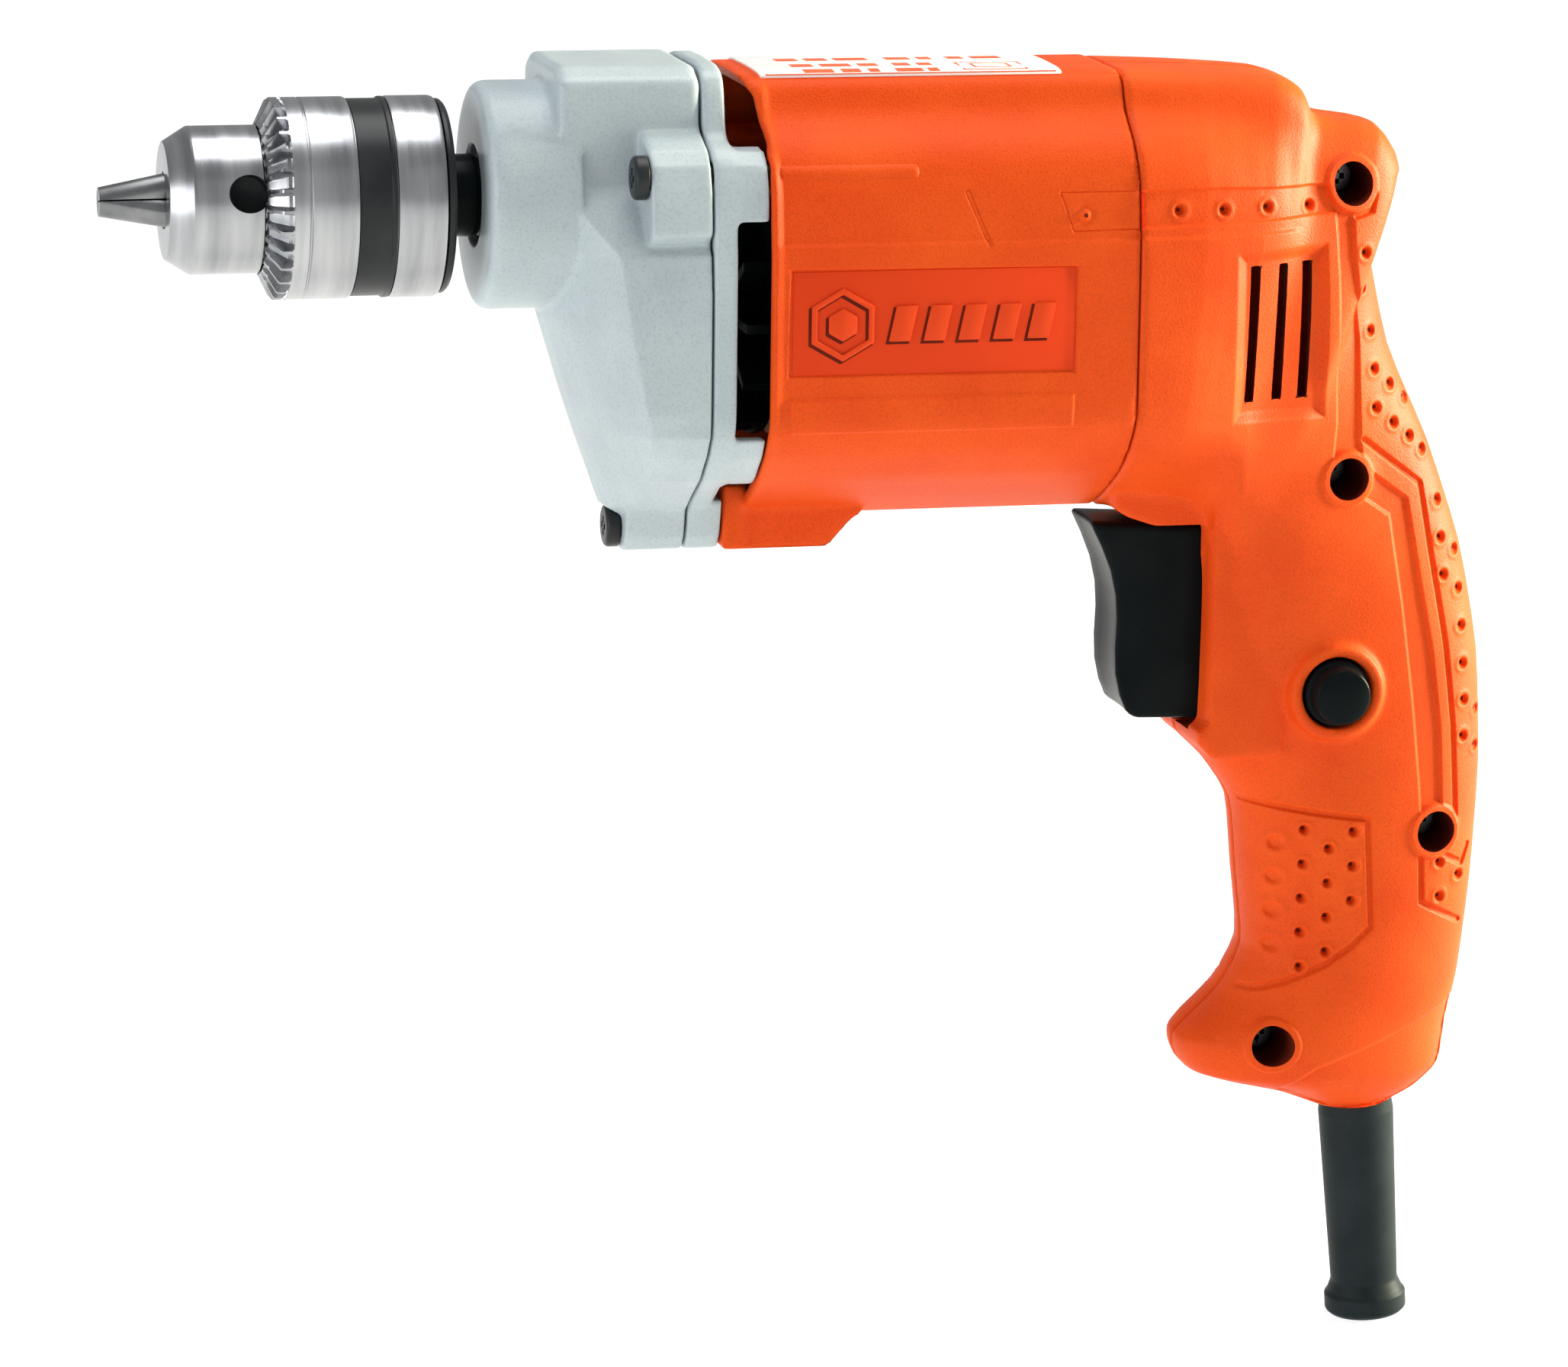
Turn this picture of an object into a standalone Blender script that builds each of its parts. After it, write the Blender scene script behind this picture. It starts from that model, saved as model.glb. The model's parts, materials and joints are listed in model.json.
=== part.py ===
"""Corded hand drill with a keyed three-jaw chuck, as separate parts that turn, slide and press.

Every length below is in millimetres, in the drill's own frame: X runs back along the spindle from
the front face of the nose, Y points to the right of whoever holds the drill, and Z points up.
spot() turns such a point into metres and moves the origin under the middle of the drill, level
with the lowest point of the cord sleeve.
"""
import math

import bmesh
import bpy
from mathutils import Matrix, Vector

MM = 0.001
GAP = 0.3
TURN = 2 * math.pi

# The drill's ends
JAW_TIP_X = -67.2
HANDLE_BACK_X = 192.9
LOWEST_Z = -220.8
MIDDLE_X = (JAW_TIP_X + HANDLE_BACK_X) / 2

# Chuck
CHUCK_FRONT_X = -55.7
CHUCK_BODY_R = 13.2
SLEEVE_R = 18.0
SLEEVE_FRONT_X = -39.0
SLEEVE_REAR_X = -7.3
SLEEVE_BORE_R = 15.3
SLEEVE_TEETH = 30
KEY_HOLE_X = -41.8
KEY_HOLE_R = 3.4
KEY_HOLE_ANGLE = math.radians(168)
JAW_R = 3.0
JAW_TIP_R = 2.6
JAW_SLOPE = math.radians(12.4)
JAW_REAR_X = -37.0

# Gear case, mid cover and motor housing
NOSE_R = 20.5
CASE_REAR_X = 38.0
COVER_X = (38.3, 42.5)
HOUSING_X = (48.5, 116.0)
HOOD_X = 43.0
FOOT_END_X = 44.6
WALL = 2.6
TOP_SCREW_Y = 24.5
TOP_SCREW_Z = 5.9
LOW_SCREW_Z = -61.1
SCREW_HEAD_R = 3.95
SCREW_HEAD_X = 24.2
SCREW_SEAT_X = 27.0

# Gears: one stage between the motor and the spindle
GEAR_MODULE = 0.7
PINION_TEETH = 7
SPINDLE_TEETH = 56
MOTOR_Z = -GEAR_MODULE * (PINION_TEETH + SPINDLE_TEETH) / 2
GEAR_X = (28.5, 36.5)

# Handle
SEAM = 0.15
HANDLE_WALL = 2.8
HANDLE_SCREWS = ((160.3, 1.2, 13.4), (160.7, -53.4, 17.2), (180.7, -121.6, 14.2), (149.9, -161.8, 14.8))
HEAD_SEAT_Y = 3.2
SHANK_R = 1.6
VENT_X = (139.1, 145.1, 150.4)
VENT_HALF_WIDTH = 0.95
VENT_Z = (-36.4, -12.0)
TRIGGER_HALF_WIDTH = 8.4
LOCK_X = 159.5
LOCK_Z = -93.5
CORD_TOP = Vector((171.6, 0, -176.0))
CORD_DOWN = Vector((3.5, 0, -42.4)).normalized()

# Directions that a turned or extruded piece can take
ALONG_X = Matrix(((0, 0, 1), (1, 0, 0), (0, 1, 0))).to_4x4()
ALONG_Y = Matrix(((1, 0, 0), (0, 0, -1), (0, 1, 0))).to_4x4()

# Looks: colour, roughness, metallic
STEEL = ((0.55, 0.56, 0.57), 0.32, 1.0)
CAST_GREY = ((0.60, 0.66, 0.69), 0.45, 0.3)
ORANGE = ((0.86, 0.15, 0.03), 0.5, 0.0)
BLACK = ((0.02, 0.02, 0.022), 0.45, 0.0)
RUBBER = ((0.03, 0.045, 0.05), 0.7, 0.0)
COPPER = ((0.72, 0.30, 0.14), 0.35, 1.0)
LAMINATION = ((0.30, 0.31, 0.33), 0.5, 0.9)
CARBON = ((0.04, 0.04, 0.04), 0.6, 0.2)
PAPER = ((0.82, 0.80, 0.74), 0.5, 0.0)

# Half of the cross-section that gear case, mid cover and motor housing share, as (y, z)
HALF_SECTION = (
    (0, 22.6), (12, 22.4), (15.4, 21.6), (16.8, 19.6), (17.8, 16.4), (20.4, 14), (24.6, 11),
    (27.8, 7.6), (29.6, 3.6), (31, -8), (31, -39), (27, -44.5), (21, -49.8), (12, -55), (4, -59),
    (0, -60))

# The gear case narrows to the nose through these half sections, from the front back
CASE_HALVES = (
    (12.5, ((0, 23.8), (9, 23.4), (12.5, 22.4), (15, 18), (17, 12), (19, 9), (20.5, 5), (21.5, 2),
            (22, -4), (21.5, -12), (19, -17.5), (15.5, -20.9), (10, -23.4), (4, -24.6), (0, -24.9))),
    (20.0, ((0, 24.2), (11, 23.9), (15, 22.4), (16.8, 16.5), (18, 12), (21.5, 9.6), (24, 7),
            (25.2, 3.5), (26, -6), (25.8, -28), (23, -36.5), (18, -42), (10.5, -46.4), (4, -48.4),
            (0, -48.8))),
    (25.5, ((0, 24.3), (12, 24), (16, 22.5), (17.4, 16.2), (18.5, 12), (24, 10.4), (26.8, 7.8),
            (28.2, 4), (29, -9), (29, -38), (25.8, -44), (20, -49), (11.5, -54.4), (4, -58.2),
            (0, -59.2))),
    (38.0, ((0, 24.5), (12, 24.2), (16, 22.7), (17.5, 16.2), (18.5, 12.2), (24.6, 10.6),
            (27.4, 8), (28.9, 4), (30, -9), (30, -39), (26.3, -44.3), (20.5, -49.6), (11.8, -54.8),
            (4, -58.8), (0, -59.8))))

# Stations of the handle: (back x, z), (front x, z), half width, share of the grip's oval section
HANDLE_STATIONS = (
    ((116.3, 22.4), (116.3, -60.0), 31.0, 0.0),
    ((131.0, 21.9), (124.5, -61.0), 30.0, 0.05),
    ((146.6, 20.9), (130.5, -62.4), 27.5, 0.2),
    ((152.2, 18.4), (133.5, -65.5), 25.5, 0.35),
    ((155.2, 13.4), (134.2, -70.0), 24.0, 0.5),
    ((167.8, 11.1), (134.4, -76.0), 22.0, 0.65),
    ((174.0, 3.5), (134.5, -82.0), 20.5, 0.8),
    ((168.8, -8.0), (134.4, -88.0), 19.5, 0.9),
    ((172.6, -30.1), (134.0, -95.0), 18.3, 1.0),
    ((180.4, -48.0), (133.4, -103.0), 17.6, 1.0),
    ((187.5, -67.8), (139.2, -109.0), 17.2, 1.0),
    ((191.6, -88.0), (144.5, -117.0), 17.0, 1.0),
    ((192.9, -110.0), (146.1, -131.0), 16.9, 1.0),
    ((192.0, -132.0), (147.5, -145.3), 16.9, 1.0),
    ((190.2, -150.5), (142.8, -154.2), 17.1, 1.0),
    ((188.2, -161.0), (134.4, -162.6), 17.4, 1.0),
    ((187.2, -169.5), (137.3, -169.2), 16.0, 1.0),
    ((182.6, -174.2), (149.0, -173.8), 13.4, 1.0),
    ((176.5, -177.6), (161.0, -177.6), 9.6, 1.0))

# How full the grip's oval section is: 1 for an ellipse, less for a fuller one
OVAL_POWER = 0.8


def clear_scene():
    for thing in list(bpy.data.objects):
        bpy.data.objects.remove(thing, do_unlink=True)


def collection(name):
    group = bpy.data.collections.new(name)
    bpy.context.scene.collection.children.link(group)
    return group


clear_scene()
PARTS = collection("hand_drill")
CUTTERS = collection("cutters")


def spot(x, y, z):
    """A point of the drill's frame, in metres from the stored origin."""
    return Vector((x - MIDDLE_X, y, z - LOWEST_Z)) * MM


def material(name, look):
    colour, roughness, metallic = look
    made = bpy.data.materials.new(name)
    made.use_nodes = True
    shader = made.node_tree.nodes["Principled BSDF"]
    shader.inputs["Base Color"].default_value = (*colour, 1)
    shader.inputs["Roughness"].default_value = roughness
    shader.inputs["Metallic"].default_value = metallic
    return made


def add(name, mesh, look, at=(0, 0, 0), turn=None):
    """Link a mesh as a part, or as a hidden cutter when it has no look."""
    piece = bpy.data.objects.new(name, mesh)
    piece.matrix_world = Matrix.Translation(spot(*at)) @ (turn or Matrix.Identity(4))
    if look is None:
        CUTTERS.objects.link(piece)
        piece.hide_render = True
        piece.display_type = "WIRE"
    else:
        PARTS.objects.link(piece)
        mesh.materials.append(material(name, look))
    return piece


def mesh_from(name, shape):
    mesh = bpy.data.meshes.new(name)
    shape.to_mesh(mesh)
    shape.free()
    return mesh


def outline_area(outline):
    following = outline[1:] + outline[:1]
    return sum(a[0] * b[1] - b[0] * a[1] for a, b in zip(outline, following)) / 2


def aim(axis):
    """The turn that takes local Z to the given direction."""
    return Vector(axis).to_track_quat("Z", "Y").to_matrix().to_4x4()


def turned(name, outline, look, at=(0, 0, 0), axis=(1, 0, 0), steps=24):
    """Turn an outline of (radius, distance) round an axis; one off the axis makes a ring."""
    outline = list(outline)
    if outline_area(outline) > 0:
        outline.reverse()
    edges = [(k, k + 1) for k in range(len(outline) - 1)]
    if min(radius for radius, _ in outline) > 0:
        edges.append((len(outline) - 1, 0))
    mesh = bpy.data.meshes.new(name)
    mesh.from_pydata([(radius * MM, 0, far * MM) for radius, far in outline], edges, [])
    piece = add(name, mesh, look, at, aim(axis))
    screw = piece.modifiers.new("Turn", "SCREW")
    screw.steps = steps
    screw.render_steps = steps
    screw.use_merge_vertices = True
    screw.merge_threshold = 0.00001
    return piece


def rod(name, radius, start, end, look, at=(0, 0, 0), axis=(1, 0, 0), steps=20):
    """A plain round bar between two distances along the axis."""
    outline = ((0, end), (radius, end), (radius, start), (0, start))
    return turned(name, outline, look, at, axis, steps)


def ring(name, outer, inner, start, end, look, at=(0, 0, 0), axis=(1, 0, 0), steps=20):
    outline = ((outer, end), (outer, start), (inner, start), (inner, end))
    return turned(name, outline, look, at, axis, steps)


def block(name, low, high, look, bevel=0):
    """A box between two corners of the drill's frame."""
    shape = bmesh.new()
    bmesh.ops.create_cube(shape, size=1)
    size = [(b - a) * MM for a, b in zip(low, high)]
    bmesh.ops.scale(shape, vec=size, verts=shape.verts)
    middle = [(a + b) / 2 for a, b in zip(low, high)]
    piece = add(name, mesh_from(name, shape), look, middle)
    if bevel:
        soften(piece, bevel)
    return piece


def prism(name, outlines, start, end, look, at=(0, 0, 0), turn=ALONG_X):
    """Extrude flat outlines, the first with the others as holes, between two distances."""
    curve = bpy.data.curves.new(name, "CURVE")
    curve.dimensions = "2D"
    curve.fill_mode = "BOTH"
    curve.extrude = (end - start) / 2 * MM
    for outline in outlines:
        spline = curve.splines.new("POLY")
        spline.points.add(len(outline) - 1)
        for corner, (u, v) in zip(spline.points, outline):
            corner.co = (u * MM, v * MM, 0, 1)
        spline.use_cyclic_u = True
    return from_curve(name, curve, look, at, turn @ Matrix.Translation((0, 0, (start + end) / 2 * MM)))


def from_curve(name, curve, look, at, turn):
    """Turn a curve into a closed mesh piece."""
    guide = bpy.data.objects.new(name + "_guide", curve)
    CUTTERS.objects.link(guide)
    bpy.context.view_layer.update()
    mesh = bpy.data.meshes.new_from_object(guide.evaluated_get(bpy.context.evaluated_depsgraph_get()))
    bpy.data.objects.remove(guide, do_unlink=True)
    shape = bmesh.new()
    shape.from_mesh(mesh)
    bmesh.ops.remove_doubles(shape, verts=shape.verts, dist=0.000001)
    bmesh.ops.recalc_face_normals(shape, faces=shape.faces)
    bpy.data.meshes.remove(mesh)
    return add(name, mesh_from(name, shape), look, at, turn)


def loft(name, rings, look):
    """Skin over closed rings of points, each with the same number, with a face on each end."""
    shape = bmesh.new()
    rows = [[shape.verts.new(spot(*corner)) for corner in ring_points] for ring_points in rings]
    for one, two in zip(rows, rows[1:]):
        for k in range(len(one)):
            after = (k + 1) % len(one)
            shape.faces.new((one[k], one[after], two[after], two[k]))
    shape.faces.new(list(reversed(rows[0])))
    shape.faces.new(rows[-1])
    bmesh.ops.recalc_face_normals(shape, faces=shape.faces)
    piece = add(name, mesh_from(name, shape), look)
    piece.matrix_world = Matrix.Identity(4)
    return piece


def fix_modifiers(piece):
    """Put the evaluated shape into the mesh, without the slivers that a Boolean leaves."""
    bpy.context.view_layer.update()
    graph = bpy.context.evaluated_depsgraph_get()
    shape = bmesh.new()
    shape.from_mesh(bpy.data.meshes.new_from_object(piece.evaluated_get(graph)))
    bmesh.ops.remove_doubles(shape, verts=shape.verts, dist=0.000001)
    flat = math.radians(0.1)
    bmesh.ops.dissolve_limit(shape, angle_limit=flat, verts=shape.verts, edges=shape.edges)
    piece.modifiers.clear()
    shape.to_mesh(piece.data)
    shape.free()


def combine(piece, tool, operation, solver="EXACT"):
    """Apply one Boolean of a piece with a tool."""
    step = piece.modifiers.new(tool.name, "BOOLEAN")
    step.operation = operation
    step.object = tool
    step.solver = solver
    fix_modifiers(piece)
    return piece


def cut(piece, *tools):
    for tool in tools:
        combine(piece, tool, "DIFFERENCE")
    return piece


def join(piece, *tools):
    for tool in tools:
        combine(piece, tool, "UNION")
    return piece


def soften(piece, width, segments=2):
    bevel = piece.modifiers.new("Edges", "BEVEL")
    bevel.width = width * MM
    bevel.segments = segments
    bevel.limit_method = "ANGLE"
    bevel.angle_limit = math.radians(40)


def mirrored(half):
    """Close a half outline that runs from the top middle to the bottom middle."""
    return list(half) + [(-y, z) for y, z in reversed(half[1:-1])]


def inset(outline, distance):
    """Move every side of a closed outline inwards by the same distance."""
    sign = 1 if outline_area(outline) > 0 else -1
    moved = []
    for before, here, after in zip(outline[-1:] + outline[:-1], outline, outline[1:] + outline[:1]):
        one = (Vector(here) - Vector(before)).normalized()
        two = (Vector(after) - Vector(here)).normalized()
        inward = (Vector((-one.y, one.x)) + Vector((-two.y, two.x))).normalized() * sign
        lean = inward.dot(Vector((-one.y, one.x)) * sign)
        moved.append(tuple(Vector(here) + inward * distance / lean))
    return moved


def around(radius, angle):
    """A point (y, z) on a circle, its angle counted from +Y towards +Z."""
    return radius * math.cos(angle), radius * math.sin(angle)


# --- chuck ------------------------------------------------------------------------------------

def jaw_outer_radius(x):
    """Radius of the jaws' outer edge at a distance along the drill."""
    return JAW_TIP_R + (x - JAW_TIP_X) * math.tan(JAW_SLOPE)


def jaw_angles():
    """The jaws sit midway between the key holes."""
    return [KEY_HOLE_ANGLE + TURN / 6 + k * TURN / 3 for k in range(3)]


def jaw_axis(angle):
    y, z = around(math.sin(JAW_SLOPE), angle)
    return Vector((math.cos(JAW_SLOPE), y, z))


def jaw_centre(x, angle):
    y, z = around(jaw_outer_radius(x) - JAW_R / math.cos(JAW_SLOPE), angle)
    return x, y, z


def make_jaw(name, angle):
    """A round bar on the jaw's slope, cut flat where the three jaws meet and at its tip."""
    length = (JAW_REAR_X - JAW_TIP_X) / math.cos(JAW_SLOPE)
    shape = bmesh.new()
    bmesh.ops.create_cone(shape, cap_ends=True, segments=20, radius1=JAW_R * MM,
                          radius2=JAW_R * MM, depth=(length + 8) * MM)
    lift = Matrix.Translation((0, 0, (length / 2 - 4) * MM))
    bmesh.ops.transform(shape, matrix=aim(jaw_axis(angle)) @ lift, verts=shape.verts)
    start = Vector(jaw_centre(JAW_TIP_X, angle))
    planes = [(Vector((JAW_TIP_X, 0, 0)), Vector((-1, 0, 0)))]
    for lean in (-TURN / 12, TURN / 12):
        inward = Vector((0, *around(1, angle + lean)))
        planes.append((Vector((0, 0, 0)) + inward * 0.25, -inward))
    for through, outside in planes:
        everything = shape.verts[:] + shape.edges[:] + shape.faces[:]
        bmesh.ops.bisect_plane(shape, geom=everything, plane_co=(through - start) * MM,
                               plane_no=outside, clear_outer=True)
        rim = [edge for edge in shape.edges if edge.is_boundary]
        bmesh.ops.contextual_create(shape, geom=rim)
    bmesh.ops.recalc_face_normals(shape, faces=shape.faces)
    add(name, mesh_from(name, shape), STEEL, start)


def make_chuck_body():
    outline = ((4.9, CHUCK_FRONT_X), (10.4, CHUCK_FRONT_X), (13.0, -51.8), (CHUCK_BODY_R, -51.2),
               (CHUCK_BODY_R, -39.2), (12.2, -38.9), (12.2, -10.5), (14.8, -9.9), (14.8, -7.4),
               (12.0, -7.2), (12.0, -5.6), (5.0, -5.6), (5.0, -28.2), (4.9, -28.3))
    body = turned("chuck_body", outline, STEEL, steps=32)
    for k, angle in enumerate(jaw_angles()):
        channel = rod(f"jaw_channel_{k}", JAW_R + GAP, -8, 55.5, None,
                      jaw_centre(JAW_TIP_X, angle), jaw_axis(angle), 16)
        cut(body, channel)
    for k in range(3):
        y, z = around(1, KEY_HOLE_ANGLE + k * TURN / 3)
        cut(body, rod(f"key_hole_{k}", KEY_HOLE_R, 7.6, 20, None, (KEY_HOLE_X, 0, 0), (0, y, z), 14))


def make_chuck_sleeve():
    """A shell whose front edge carries bevel teeth for the chuck key."""
    outline = ((13.6, SLEEVE_FRONT_X, 1), (SLEEVE_R, -36.8, 0), (SLEEVE_R, -23.2, 0),
               (17.3, -23.1, 0), (17.3, -16.1, 0), (SLEEVE_R, -16.0, 0), (17.9, SLEEVE_REAR_X, 0),
               (SLEEVE_BORE_R, SLEEVE_REAR_X, 0), (SLEEVE_BORE_R, -36.0, 0))
    tooth_rise = 0.9
    sides = SLEEVE_TEETH * 2
    shape = bmesh.new()
    rows = []
    for k in range(sides):
        valley = k % 2
        row = []
        for radius, x, toothed in outline:
            y, z = around(radius - toothed * valley * 0.4, k * TURN / sides)
            row.append(shape.verts.new(Vector((x + toothed * valley * tooth_rise, y, z)) * MM))
        rows.append(row)
    for one, two in zip(rows, rows[1:] + rows[:1]):
        for k in range(len(outline)):
            after = (k + 1) % len(outline)
            shape.faces.new((one[k], one[after], two[after], two[k]))
    bmesh.ops.recalc_face_normals(shape, faces=shape.faces)
    add("chuck_sleeve", mesh_from("chuck_sleeve", shape), STEEL)


def make_chuck():
    make_chuck_body()
    make_chuck_sleeve()
    ring("chuck_grip_band", 17.9, 17.3 + GAP, -22.8, -16.4, BLACK, steps=32)
    ring("chuck_nut", 15.0, 12.5, -32.0, -25.0, STEEL, steps=32)
    ring("chuck_rear_ring", 17.4, 12.3, -7.0, -5.5, BLACK, steps=32)
    screw = ((0, -31.6), (3.9, -31.6), (3.9, -28.6), (2.3, -28.6), (2.3, -16.0), (0, -16.0))
    turned("chuck_screw", screw, STEEL, steps=16)
    for k, angle in enumerate(jaw_angles()):
        make_jaw(f"jaw_{k + 1}", angle)


# --- spindle and its gear -----------------------------------------------------------------------

def gear_outline(teeth, first_tooth):
    """Edge of a spur gear, with straight flanks and some backlash."""
    pitch_radius = GEAR_MODULE * teeth / 2
    root = pitch_radius - 1.25 * GEAR_MODULE
    tip = pitch_radius + 0.9 * GEAR_MODULE
    step = TURN / teeth
    points = []
    for k in range(teeth):
        middle = first_tooth + k * step
        for radius, share in ((root, -0.29), (tip, -0.12), (tip, 0.12), (root, 0.29)):
            points.append(around(radius, middle + share * step))
    return points


def circle(radius, sides=24):
    return [around(radius, k * TURN / sides) for k in range(sides)]


def make_spindle():
    outline = ((0, -27.8), (4.6, -27.8), (4.6, -5.2), (6.0, -5.1), (6.0, 14.0), (5.0, 14.1),
               (5.0, 37.8), (4.0, 37.9), (4.0, 42.0), (0, 42.0))
    spindle = turned("spindle", outline, STEEL, steps=20)
    cut(spindle, rod("spindle_bore", 2.6, -30, -15, None, steps=16))
    ring("spindle_collar", 7.4, 6.0 + GAP, -4.9, 2.6, BLACK)
    gap_down = -TURN / 4 + TURN / SPINDLE_TEETH / 2
    rings = [gear_outline(SPINDLE_TEETH, gap_down), circle(5.0 + GAP)]
    prism("spindle_gear", rings, *GEAR_X, STEEL)
    ring("spindle_bearing", 13.0, 6.0 + GAP, 3.3, 11.5, STEEL)
    ring("spindle_bush", 7.0, 4.0 + GAP, 38.6, 42.2, COPPER)


# --- gear case and mid cover ---------------------------------------------------------------------

def boss_outline():
    """Rounded foot for the bottom screw, as (y, z)."""
    half = ((8.5, -55.5), (6.6, -62.4), (4.6, -64.9), (2.0, -65.5))
    return list(half) + [(-y, z) for y, z in reversed(half)]


def case_screws():
    return (("near", -TOP_SCREW_Y, TOP_SCREW_Z), ("far", TOP_SCREW_Y, TOP_SCREW_Z),
            ("bottom", 0, LOW_SCREW_Z))


def screw_holes(tag, start, end):
    return [rod(f"{tag}_hole_{name}", 2.3, start, end, None, (0, y, z), steps=16)
            for name, y, z in case_screws()]


def make_gear_case():
    rings = [[(x, y, z) for y, z in mirrored(half)] for x, half in CASE_HALVES]
    rings[-1] = [(CASE_REAR_X + 0.5, y, z) for _, y, z in rings[-1]]
    case = loft("gear_case", rings, CAST_GREY)
    nose = ((0, 15.0), (NOSE_R, 15.0), (NOSE_R, 2.6), (19.7, 0.8), (17.9, 0.0), (0, 0.0))
    join(case, turned("nose", nose, None, steps=32))
    join(case, prism("case_foot", [boss_outline()], SCREW_SEAT_X, CASE_REAR_X + 1, None))
    cut(case, block("case_back", (CASE_REAR_X, -50, -80), (50, 50, 40), None))
    for side in (-1, 1):
        shelf = [(side * y, z) for y, z in ((18.5, 3.5), (45, -20), (45, 30), (18.5, 30))]
        cut(case, prism(f"shelf_{side}", [shelf], -5, SCREW_SEAT_X - 0.1, None))
    cut(case, rod("low_head_room", SCREW_HEAD_R + GAP, 10, SCREW_SEAT_X - 0.1, None, (0, 0, LOW_SCREW_Z)))
    cut(case, rod("gear_room", 20.8, 27.6, 45, None, steps=32))
    cut(case, rod("pinion_room", 6.0, 24, 45, None, (0, 0, MOTOR_Z)))
    cut(case, block("grease_room", (28.5, -19, -50), (45, 19, -31), None))
    cut(case, rod("bearing_seat", 13.0 + GAP, 3.0, 14.0, None, steps=32))
    cut(case, rod("nose_hole", 9.2, -5, 30, None, steps=32))
    cut(case, *screw_holes("case", 20, 45))


def make_mid_cover():
    flange = mirrored(CASE_HALVES[-1][1])
    cover = prism("mid_cover", [flange], *COVER_X, CAST_GREY)
    join(cover, prism("cover_foot", [boss_outline()], COVER_X[0] - 1, FOOT_END_X, None))
    cut(cover, block("cover_front", (30, -50, -80), (COVER_X[0], 50, 40), None))
    for side in (-1, 1):
        post = [(side * y, z) for y, z in ((19.6, 10.6), (24.4, 10.2), (27.2, 7.9), (28.7, 4),
                                           (29.3, -1.8), (24.6, -1.8), (20.2, 1.6))]
        join(cover, prism(f"cover_post_{side}", [post], COVER_X[0] + 1, HOUSING_X[0] - GAP, None))
        leg = [(side * y, z) for y, z in ((28.2, -41), (25.8, -44.6), (20.2, -49.4), (17.5, -51),
                                          (15.5, -47.5), (18.5, -45.5), (24.2, -41))]
        join(cover, prism(f"cover_leg_{side}", [leg], COVER_X[0] + 1, HOUSING_X[0] - GAP, None))
    join(cover, rod("bearing_boss", 12.4, COVER_X[0] + 1, 44.6, None, (0, 0, MOTOR_Z), steps=32))
    cut(cover, rod("bush_seat", 7.0 + GAP, 30, 60, None))
    cut(cover, rod("front_bearing_seat", 9.5 + GAP, 30, 60, None, (0, 0, MOTOR_Z), steps=32))
    cut(cover, *screw_holes("cover", 30, 60))


def make_case_screws():
    for name, y, z in case_screws():
        end = 74.0 if z > 0 else 64.0
        edge = 0.9
        outline = ((0, SCREW_HEAD_X), (SCREW_HEAD_R - edge, SCREW_HEAD_X),
                   (SCREW_HEAD_R, SCREW_HEAD_X + edge), (SCREW_HEAD_R, SCREW_SEAT_X - GAP),
                   (2.0, SCREW_SEAT_X - GAP), (2.0, end), (0, end))
        turned(f"case_screw_{name}", outline, BLACK, (0, y, z), steps=16)


# --- motor housing ---------------------------------------------------------------------------------

def make_motor_housing():
    outer = mirrored(HALF_SECTION)
    housing = prism("motor_housing", [outer, inset(outer, WALL)], HOOD_X, HOUSING_X[1], ORANGE)
    cut(housing, block("hood_front", (30, -50, -80), (HOUSING_X[0], 50, 11.0), None))
    for side in (-1, 1):
        join(housing, rod(f"screw_tower_{side}", 3.8, HOUSING_X[0], 78, None,
                          (0, side * TOP_SCREW_Y, TOP_SCREW_Z)))
    chin_x = FOOT_END_X + GAP
    chin = ((chin_x, -57.2), (chin_x, -65.0), (64.6, -65.0), (68.6, -60.6), (71.5, -58.5))
    join(housing, prism("chin", [chin], -7.0, 7.0, None, turn=ALONG_Y))
    cut(housing, *[rod(f"housing_hole_{name}", 2.3, 40, 76 if z > 0 else 66, None, (0, y, z), steps=16)
                   for name, y, z in case_screws()])
    block("name_plate", (50, -11.5, 22.9), (104, 11.5, 23.5), PAPER, 0.25)


# --- motor ------------------------------------------------------------------------------------------

def fan_blades():
    """Edge of a radial fan with straight blades, as (y, z)."""
    blades = 12
    points = []
    for k in range(blades):
        middle = k * TURN / blades
        for radius, half_width in ((8.0, -0.8), (22.0, -0.8), (22.0, 0.8), (8.0, 0.8)):
            points.append(around(radius, middle + half_width / radius))
    return points


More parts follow.
